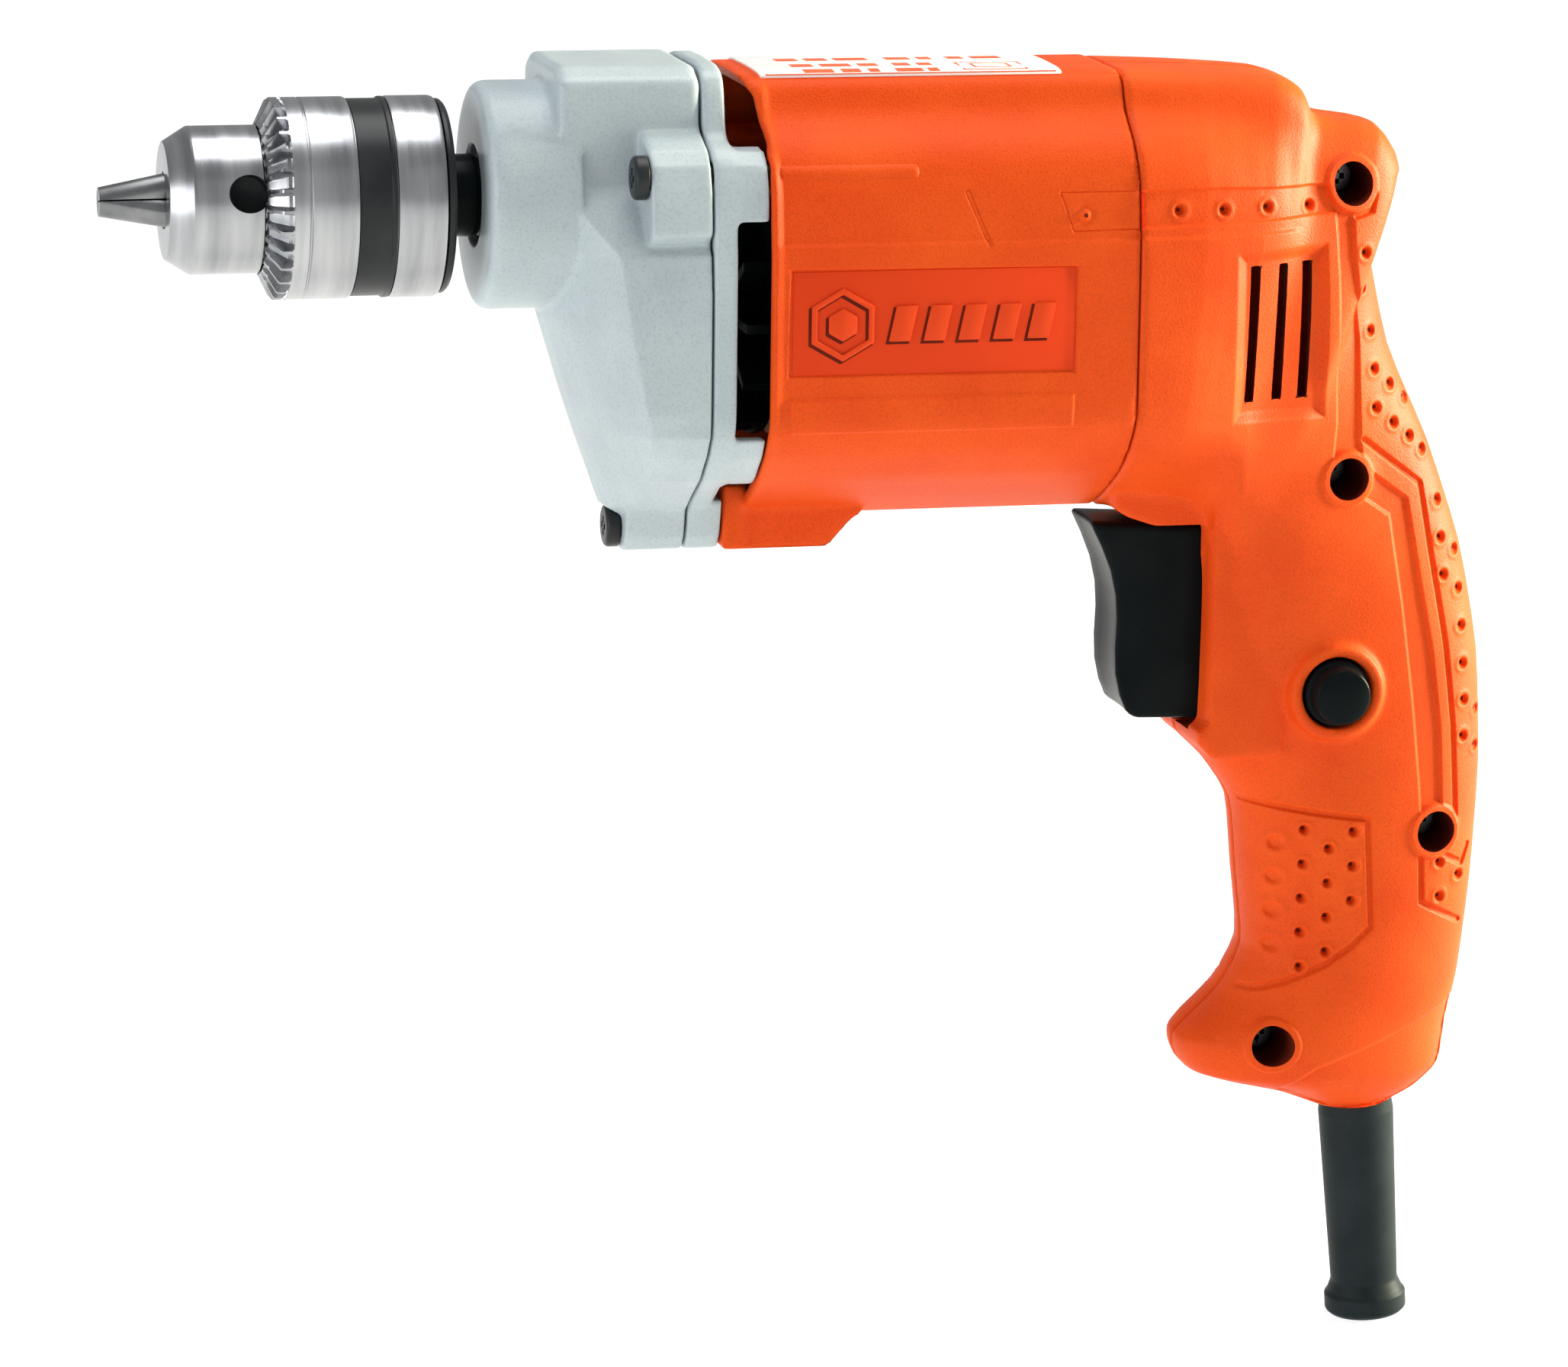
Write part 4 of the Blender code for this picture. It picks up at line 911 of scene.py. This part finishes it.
def make_motor_housing():
    outer = eased(finer(mirrored(HALF_SECTION), 2.0), 2)
    housing = prism("motor_housing_moulding", outer, 44.0, HOUSING_X[1])
    hollow = finer(inset(mirrored(HALF_SECTION), WALL), 4.0)
    towers = [rod("tower", 2.9, HOUSING_X[0], 78, (0, side * TOP_SCREW_Y, TOP_SCREW_Z))
              for side in (-1, 1)]
    cut(housing, prism("hollow", hollow, 30, 130))
    hood = ((30, -80), (HOUSING_X[0], -80), (HOUSING_X[0], 9.0), (49.2, 11.2), (48.0, 18.8), (44.9, 23.6),
            (44.0, 40), (30, 40))
    cut(housing, prism("hood_front", hood, -50, 50, "Y"))
    chin_x = FOOT_END_X + GAP
    chin = rounded(((chin_x, -57.2, 0), (chin_x, -65.0, 0.6), (64.8, -65.0, 2.5), (68.8, -60.4, 2.5),
                    (72.0, -58.3, 1)))
    wide = CHIN_HALF_WIDTH
    merge(housing, prism("chin", chin, -wide, wide, "Y"),
          block("tongue", (chin_x, -wide, -58), (49.5, wide, -53)), *towers)
    even_skin(housing, SKIN, 1)
    cut(housing, *[rod("hole", 2.3, 40, 76 if z > 0 else 66, (0, y, z), steps=24)
                   for _, y, z in case_screws()])
    even_skin(housing, SKIN, 4)
    for side in (-1, 1):
        press(housing, housing_details, side)
    place(housing, "drill_body", "orange_plastic", ORANGE, "motor_housing", sharp=0)
    x, z = STRIP_DOTS[0]
    shade_inside(housing, SHADE, *[within_rod((x, 0, z), (0, side, 0), DOT_SHADE_R, 28, 40)
                                   for side in (-1, 1)])
    make_side_panels()
    make_label(outer)


def make_side_panels():
    """Smooth plates let into the recess on both sides of the housing, each with a plain emblem over a dark
    copy of it that is painted shadow.
    """
    low, high = (52.3, -29.3), (104.2, -10.6)
    for side, name in ((-1, "left"), (1, "right")):
        near, far = span(side, PLATE_BACK_Y, PANEL_Y)
        plate = soften(block(f"side_panel_{name}", (low[0], near, low[1]), (high[0], far, high[1])), 0.2)
        place(plate, "drill_body", "orange_plastic", ORANGE_PANEL)
        emblem = make_emblem(f"side_emblem_{name}", side * PANEL_Y, side * (PANEL_Y + 0.5), 0, 0)
        place(soften(emblem, 0.22, 2), "drill_body", "orange_plastic", EMBLEM)
        # A dark copy of the emblem, a little wider and moved down and towards the front, sits just beneath it
        # as painted shadow along its edges.
        under = make_emblem(f"side_emblem_painted_shadow_{name}", side * (PANEL_Y - 0.2), side * (PANEL_Y + 0.12),
                            0.12, 0.4)
        place(under, "drill_body", "orange_plastic", SHADE)


def make_emblem(name, start_y, end_y, wider, drop):
    """A hexagon ring round a smaller hexagon, and a row of slanted bars, all moved down by drop."""
    near, far = sorted((start_y, end_y))
    middle_x, middle_z = EMBLEM_HEXAGON[0] - drop, EMBLEM_HEXAGON[1] - drop

    def hexagon(radius):
        return [(middle_x + u, middle_z + v) for v, u in (around(radius, k * TURN / 6) for k in range(6))]

    outer, inner = hexagon(EMBLEM_RING[0] + wider), hexagon(EMBLEM_RING[1] - wider)
    shape = bmesh.new()
    rows = [[shape.verts.new(spot(x, y, z)) for x, z in ring]
            for ring, y in ((outer, near), (outer, far), (inner, far), (inner, near))]
    skin_rows(shape, rows, True)
    emblem = show(name, shape)
    bars = [prism("core", hexagon(EMBLEM_CORE + wider), near, far, "Y")]
    start, end = EMBLEM_BARS
    pitch = (end - start) / EMBLEM_BAR_COUNT
    low, high = EMBLEM_BAR_Z[0] - wider - drop, EMBLEM_BAR_Z[1] + wider - drop
    for k in range(EMBLEM_BAR_COUNT):
        left = start + k * pitch - drop - wider
        right = start + k * pitch - drop + pitch * 0.62 + wider
        bar = [(left, low), (right, low), (right + EMBLEM_BAR_LEAN, high), (left + EMBLEM_BAR_LEAN, high)]
        bars.append(prism("bar", bar, near, far, "Y"))
    return merge(emblem, *bars)


def make_label(outer):
    """A white plate that follows the crown of the housing, with a plain print of dashes and frames."""
    crown = sorted((y, z) for y, z in outer if abs(y) < LABEL_HALF_WIDTH and z > 20)
    lower = [(y, z - 0.15) for y, z in crown]
    upper = [(y, z + LABEL_RISE) for y, z in reversed(crown)]
    start, end = LABEL_X
    label = soften(prism("name_plate_blank", lower + upper, start, end), 0.12, 2, 50)
    place(label, "drill_body", "label", PAPER, "name_plate")

    def print_level(y):
        """Heights between which the print lies at a distance y from the middle."""
        z = float(np.interp(y, [p[0] for p in crown], [p[1] for p in crown])) + LABEL_RISE
        return z - 0.05, z + 0.06

    def dash(x0, x1, y0, y1):
        (low0, high0), (low1, high1) = print_level(y0), print_level(y1)
        section = [(y0, low0), (y1, low1), (y1, high1), (y0, high0)]
        return prism("dash", section, x0, x1)

    marks = [dash(x0, x1, y0, y1) for y0, y1, dashes in LABEL_ROWS for x0, x1 in dashes]
    thick = FRAME_LINE
    for x0, x1, y0, y1 in LABEL_FRAMES:
        marks += [dash(x0, x1, y0, y0 + thick), dash(x0, x1, y1 - thick, y1),
                  dash(x0, x0 + thick, y0 + thick, y1 - thick), dash(x1 - thick, x1, y0 + thick, y1 - thick)]
    first = marks.pop()
    first.name = "name_plate_print"
    merge(first, *marks)
    place(first, "drill_body", "label", PRINT)


# --- handle ---

def blend_stations(parts):
    """The handle's stations with smooth ones between them."""
    packed = [(*back, *front, width, share) for back, front, width, share in HANDLE_STATIONS]
    made = []
    for k in range(len(packed) - 1):
        before, here = packed[max(k - 1, 0)], packed[k]
        after, beyond = packed[k + 1], packed[min(k + 2, len(packed) - 1)]
        for j in range(parts):
            share = j / parts
            values = []
            for p, a, b, q in zip(before, here, after, beyond):
                lean_a, lean_b = (b - p) * 0.3, (q - a) * 0.3
                s2, s3 = share * share, share ** 3
                values.append((2 * s3 - 3 * s2 + 1) * a + (s3 - 2 * s2 + share) * lean_a
                              + (3 * s2 - 2 * s3) * b + (s3 - s2) * lean_b)
            made.append(tuple(values))
    made.append(packed[-1])
    return made


def handle_profile(share, parts):
    """Fractions (along, out) of a handle section, from the back edge round the side to the front."""
    top, bottom = HALF_SECTION[0][1], HALF_SECTION[-1][1]
    widest = max(y for y, _ in HALF_SECTION)
    sides = len(HALF_SECTION) - 1
    profile = []
    for k in range(sides * parts + 1):
        low = min(k // parts, sides - 1)
        y, z = Vector(HALF_SECTION[low]).lerp(Vector(HALF_SECTION[low + 1]), k / parts - low)
        angle = math.pi * k / (sides * parts)
        oval = ((1 - math.cos(angle)) / 2, math.sin(angle) ** OVAL_POWER)
        boxy = ((top - z) / (top - bottom), y / widest)
        profile.append([a + (b - a) * share for a, b in zip(boxy, oval)])
    for _ in range(2):
        middle = [[(a[i] + 2 * b[i] + c[i]) / 4 for i in (0, 1)]
                  for a, b, c in zip(profile, profile[1:], profile[2:])]
        profile = [profile[0]] + middle + [profile[-1]]
    return profile


def handle_ring(station, side, wall, seam, parts):
    """One closed section of a handle half; wall moves it inwards for the hollow."""
    back, front = Vector(station[0:2]), Vector(station[2:4])
    half_width, share = station[4:6]
    along = (front - back).normalized()
    back, front = back + along * wall, front - along * wall
    points = []
    for far, out in handle_profile(share, parts):
        x, z = back.lerp(front, far)
        points.append((x, side * max(out * (half_width - wall), seam), z))
    points[0] = (back.x, side * seam, back.y)
    points[-1] = (front.x, side * seam, front.y)
    return points


def handle_hollow(side):
    """The hollow of a handle half, open at the front end and across the seam."""
    stations = blend_stations(1)[:-2]
    for k in NOTCH_STATIONS:
        stations[k] = (stations[k][0] - NOTCH_EXTRA, *stations[k][1:])
    before = (stations[0][0] - 4, stations[0][1], stations[0][2] - 4, *stations[0][3:])
    rings = []
    for station in [before] + stations:
        rings.append([(x, -side if abs(y) <= SEAM else y, z)
                      for x, y, z in handle_ring(station, side, HANDLE_WALL, SEAM, 1)])
    return loft("hollow", rings)


def ease_flank(half, side, passes=60):
    """Smooth the flank where the stations fan out from the motor's section to the grip."""
    low, high = spot(140, 6, -75), spot(174, 30, 2)
    shape = bmesh.new()
    shape.from_mesh(half.data)
    flank = [vert for vert in shape.verts
             if low.x < vert.co.x < high.x and low.y < vert.co.y * side < high.y
             and low.z < vert.co.z < high.z]
    for _ in range(passes):
        bmesh.ops.smooth_vert(shape, verts=flank, factor=0.5, use_axis_x=True, use_axis_y=True,
                              use_axis_z=True)
    shape.to_mesh(half.data)
    shape.free()


def mouth_cutter():
    """The opening that the trigger moves in, with a wide bevel where it meets the handle's skin."""
    low, high = MOUTH_Z
    rings = []
    for y in (-40, -MOUTH_HALF_WIDTH, MOUTH_HALF_WIDTH, 40):
        back = MOUTH_BACK_X + (abs(y) - MOUTH_HALF_WIDTH) * MOUTH_FLARE
        outline = rounded(((112, high, 0), (back, high, 1.5), (back, low, 2.5), (112, low, 0)), 4)
        rings.append([(x, y, z) for x, z in outline])
    return loft("mouth", rings)


def handle_extras(side):
    """Screw bosses, button collar, rib, and the skirt and cheek beside the trigger."""
    extras = [rod("boss", BOSS_R, SEAM + 0.02, reach, (x, 0, z), (0, side, 0), 48)
              for x, z, reach in HANDLE_SCREWS]
    if side < 0:
        collar = rounded(((6.75, 14.4, 0), (9.6, 14.4, 0), (9.0, 19.4, 1.2), (6.75, 19.4, 0.9)), 4)
        extras.append(turned("collar", collar, (LOCK_X, 0, LOCK_Z), (0, -1, 0)))
    near, far = span(side, SEAM + 0.02, 29.4)
    extras.append(block("rib", (117.3, near, -38), (123.2, far, -10)))
    skirt = ((118, -50), (118, -59.0), (120.5, -60.6), (127.5, -63.0), (134, -63.6), (137, -63.6), (137, -50))
    extras.append(prism("skirt", skirt, *span(side, SEAM + 0.02, 11.5), "Y"))
    cheek = ((135.7, -58), (135.7, -98.8), (134.8, -100.4), (133.6, -100.4), (133.7, -103), (136.5, -106),
             (150, -106), (150, -58))
    extras.append(soften(prism("cheek", cheek, *span(side, SEAM + 0.02, 15.8), "Y"), 1.6, 3, 50))
    return extras


def cut_screw_rooms(half, side):
    """Holes for the four screws; the heads' deep rooms are on the left only. Returns their insides."""
    insides = []
    for x, z, _ in HANDLE_SCREWS:
        at, out = (x, 0, z), (0, side, 0)
        if side < 0:
            cut(half, rod("room", SCREW_ROOM_R, HEAD_SEAT_Y - 0.1, 40, at, out, 72),
                rod("shank", SHANK_ROOM_R, -1, 20, at, out))
            insides.append(within_rod(at, out, SCREW_ROOM_R + 0.02, HEAD_SEAT_Y - 1, 40))
        else:
            cut(half, rod("shank", SHANK_ROOM_R, -1, 9.6, at, out))
    return insides


def cut_vents(half, side):
    """The three cooling slots. Returns their insides."""
    insides = []
    low, high = VENT_Z
    near, far = span(side, 14, 40)
    for x in VENT_SLOTS:
        start, end = x - VENT_WIDTH / 2, x + VENT_WIDTH / 2
        slot = rounded([(*corner, VENT_ROUND)
                        for corner in ((start, low), (end, low), (end, high), (start, high))], 3)
        cut(half, prism("vent", slot, near, far, "Y"))
        insides.append(within_box((start - SHADE_EDGE, near, low - SHADE_EDGE),
                                  (end + SHADE_EDGE, far, high + SHADE_EDGE)))
    return insides


def make_handle_half(name, side):
    rings = [handle_ring(station, side, 0, SEAM, 3) for station in blend_stations(3)]
    half = loft(f"handle_{name}_moulding", rings)
    cut(half, handle_hollow(side))
    if side < 0:
        cut(half, rod("lock_hole", *LOCK_HOLE, (LOCK_X, 0, LOCK_Z), (0, -1, 0)))
    merge(half, *handle_extras(side))
    even_skin(half, SKIN, 5)
    cut(half, rod("boot_seat", *BOOT_SEAT, (0, 0, MOTOR_Z)),
        rod("cord_hole", *CORD_HOLE, CORD_TOP, CORD_DOWN),
        rod("cord_room", *CORD_ROOM, CORD_TOP, CORD_DOWN))
    even_skin(half, SKIN, 3)
    ease_flank(half, side)
    press(half, handle_details, side)
    cut(half, mouth_cutter(), block("switch_room", (133, -8.9, -101.6), (146, 8.9, -62.1)))
    insides = cut_screw_rooms(half, side) + cut_vents(half, side)
    centres = list(STRIP_DOTS[1:] + BACK_DOTS)
    for column in PALM_DOTS:
        centres += palm_dots(*column)
    insides += [within_rod((x, 0, z), (0, side, 0), DOT_SHADE_R, 6, 40) for x, z in centres]
    place(half, "drill_body", "orange_plastic", ORANGE, f"handle_{name}", sharp=50)
    shade_inside(half, SHADE, *insides)


def make_lock_button():
    profile = rounded(((0, 23.15, 0), (3.4, 23.1, 0), (5.2, 22.6, 0.9), (5.5, 20.0, 0.5), (5.55, 19.2, 0.2),
                       (6.2, 18.9, 0.3), (6.25, 12.8, 0), (7.25, 12.8, 0), (7.25, 11.5, 0), (0, 11.5, 0)), 4)
    button = turned("lock_button_turned", profile, (LOCK_X, 0, LOCK_Z), (0, -1, 0))
    place(button, "lock_button", "black_plastic", BLACK, "lock_button")


def make_trigger():
    front = ((114.2, -62.0), (116.5, -66.7), (118.3, -71.2), (119.4, -76.0), (119.7, -80.6),
             (119.5, -86.2), (119.7, -90.8), (120.6, -94.9), (121.8, -97.8), (123.2, -99.3))
    rear = ((138.0, -99.75), (138.0, -63.25), (130.0, -62.85))
    rings = []
    for y, shrink in ((-8.35, 0), (-4.5, 0.35), (0, 0.5), (4.5, 0.35), (8.35, 0)):
        rings.append([(x + shrink, y, z) for x, z in front] + [(x, y, z) for x, z in rear])
    trigger = soften(loft("trigger_moulding", rings), 1.3, 5, 40)
    merge(trigger, rod("stem", 2.15, 136, 150.9, (0, 0, -80)))
    place(trigger, "trigger", "black_plastic", BLACK, "trigger", sharp=40)


def make_handle_fittings():
    for k, (x, z, _) in enumerate(HANDLE_SCREWS):
        top = HEAD_SEAT_Y + 2.3
        profile = rounded(((0, top, 0), (3.3, top, 0.7), (3.3, HEAD_SEAT_Y, 0),
                           (SCREW_SHANK_R, HEAD_SEAT_Y, 0), (SCREW_SHANK_R, SHANK_END_Y, 0),
                           (0, SHANK_END_Y, 0)), 4)
        screw = turned(f"handle_screw_{k + 1}_turned", profile, (x, 0, z), (0, -1, 0), 48)
        cut(screw, cross("cross", 1.9, 1.4, top, (x, 0, z), (0, -1, 0)))
        place(screw, "drill_body", "steel", DARK_STEEL, f"handle_screw_{k + 1}")
    profile = rounded(((3.75, -9.0, 0), (9.0, -9.0, 0), (9.0, -3.8, 0), (6.6, -3.6, 0), (6.6, -1.0, 0),
                       (7.2, 3.5, 1), (6.4, 37.6, 2), (7.2, 39.6, 2), (7.8, 40.4, 0.5), (7.8, 43.4, 0.9),
                       (6.9, 44.25, 0.6), (3.75, 44.25, 0.4)), 4)
    place(turned("cord_sleeve_moulding", profile, CORD_TOP, CORD_DOWN), "drill_body", "rubber", RUBBER,
          "cord_sleeve")


def dress_inner_nodes():
    """Give every CAD node that still shows the look of its material slot."""
    for subpart in frame["record"]["subparts"]:
        node = frame["nodes"].get(subpart["node"])
        if node is not None:
            for holder in node.material_slots:
                holder.material = node_looks[subpart["material_slot"]]


# --- camera and light ---

CAMERA_AZIMUTH = math.radians(12.896)
CAMERA_RISE = math.radians(12.534)
CAMERA_ROLL = math.radians(0.703)
CAMERA_DISTANCE = 1126.77
CAMERA_TARGET = (58.413, 0, -91.943)
CAMERA_LENS = 140.08
SKY_STRENGTH = 0.35
FLOOR_GLOW = 0.9


def make_camera():
    a, e, r = CAMERA_AZIMUTH, CAMERA_RISE, CAMERA_ROLL
    back = Vector((-math.sin(a) * math.cos(e), -math.cos(a) * math.cos(e), math.sin(e)))
    right = Vector((math.cos(a), -math.sin(a), 0))
    up = back.cross(right)
    tilted_right = right * math.cos(r) + up * math.sin(r)
    tilted_up = up * math.cos(r) - right * math.sin(r)
    camera = bpy.data.objects.new("camera", bpy.data.cameras.new("camera"))
    camera.data.lens = CAMERA_LENS
    camera.data.clip_start = 0.05
    camera.data.clip_end = 60
    turn = Matrix((tilted_right, tilted_up, back)).transposed().to_4x4()
    turn.translation = spot(*CAMERA_TARGET) + back * CAMERA_DISTANCE * MM
    camera.matrix_world = turn
    bpy.context.scene.collection.objects.link(camera)
    bpy.context.scene.camera = camera


def soft_light(name, at, watts, size, colour=(1, 1, 1)):
    """A square lamp that looks at the middle of the drill."""
    lamp = bpy.data.lights.new(name, "AREA")
    lamp.energy = watts
    lamp.size = size
    lamp.color = colour
    holder = bpy.data.objects.new(name, lamp)
    middle = Vector((0, 0, 0.14))
    holder.location = at
    holder.rotation_euler = (middle - holder.location).to_track_quat("-Z", "Y").to_euler()
    bpy.context.scene.collection.objects.link(holder)


def make_studio():
    shape = bmesh.new()
    bmesh.ops.create_grid(shape, x_segments=2, y_segments=2, size=15)
    floor = show("floor", shape)
    look = grained("floor_look", (0.26, 0.26, 0.26), (0.3, 0.3, 0.3), (0.7, 0.8), patch=3, grain=200,
                   bump=0.02, shine=0.1)
    look.node_tree.nodes["Principled BSDF"].inputs["Emission Color"].default_value = (1, 1, 1, 1)
    look.node_tree.nodes["Principled BSDF"].inputs["Emission Strength"].default_value = FLOOR_GLOW
    floor.data.materials.append(look)
    world = bpy.data.worlds.new("studio")
    world.use_nodes = True
    world.node_tree.nodes["Background"].inputs["Color"].default_value = (1, 1, 1, 1)
    world.node_tree.nodes["Background"].inputs["Strength"].default_value = SKY_STRENGTH
    bpy.context.scene.world = world
    bpy.context.scene.view_settings.view_transform = "Standard"
    soft_light("top_light", (0.0, 0.1, 1.3), 10, 0.8)
    soft_light("front_light", (-1.2, -0.45, 0.3), 5.5, 0.7)
    soft_light("back_light", (1.25, 0.05, 0.42), 62, 0.5, (1.0, 0.97, 0.72))
    soft_light("near_light", (0.3, -1.4, 0.8), 0.6, 1.0)


make_camera()
make_chuck()
make_gear_case()
make_mid_cover()
make_case_screws()
make_motor_housing()
make_handle_half("left", -1)
make_handle_half("right", 1)
make_lock_button()
make_trigger()
make_handle_fittings()
dress_inner_nodes()
make_studio()
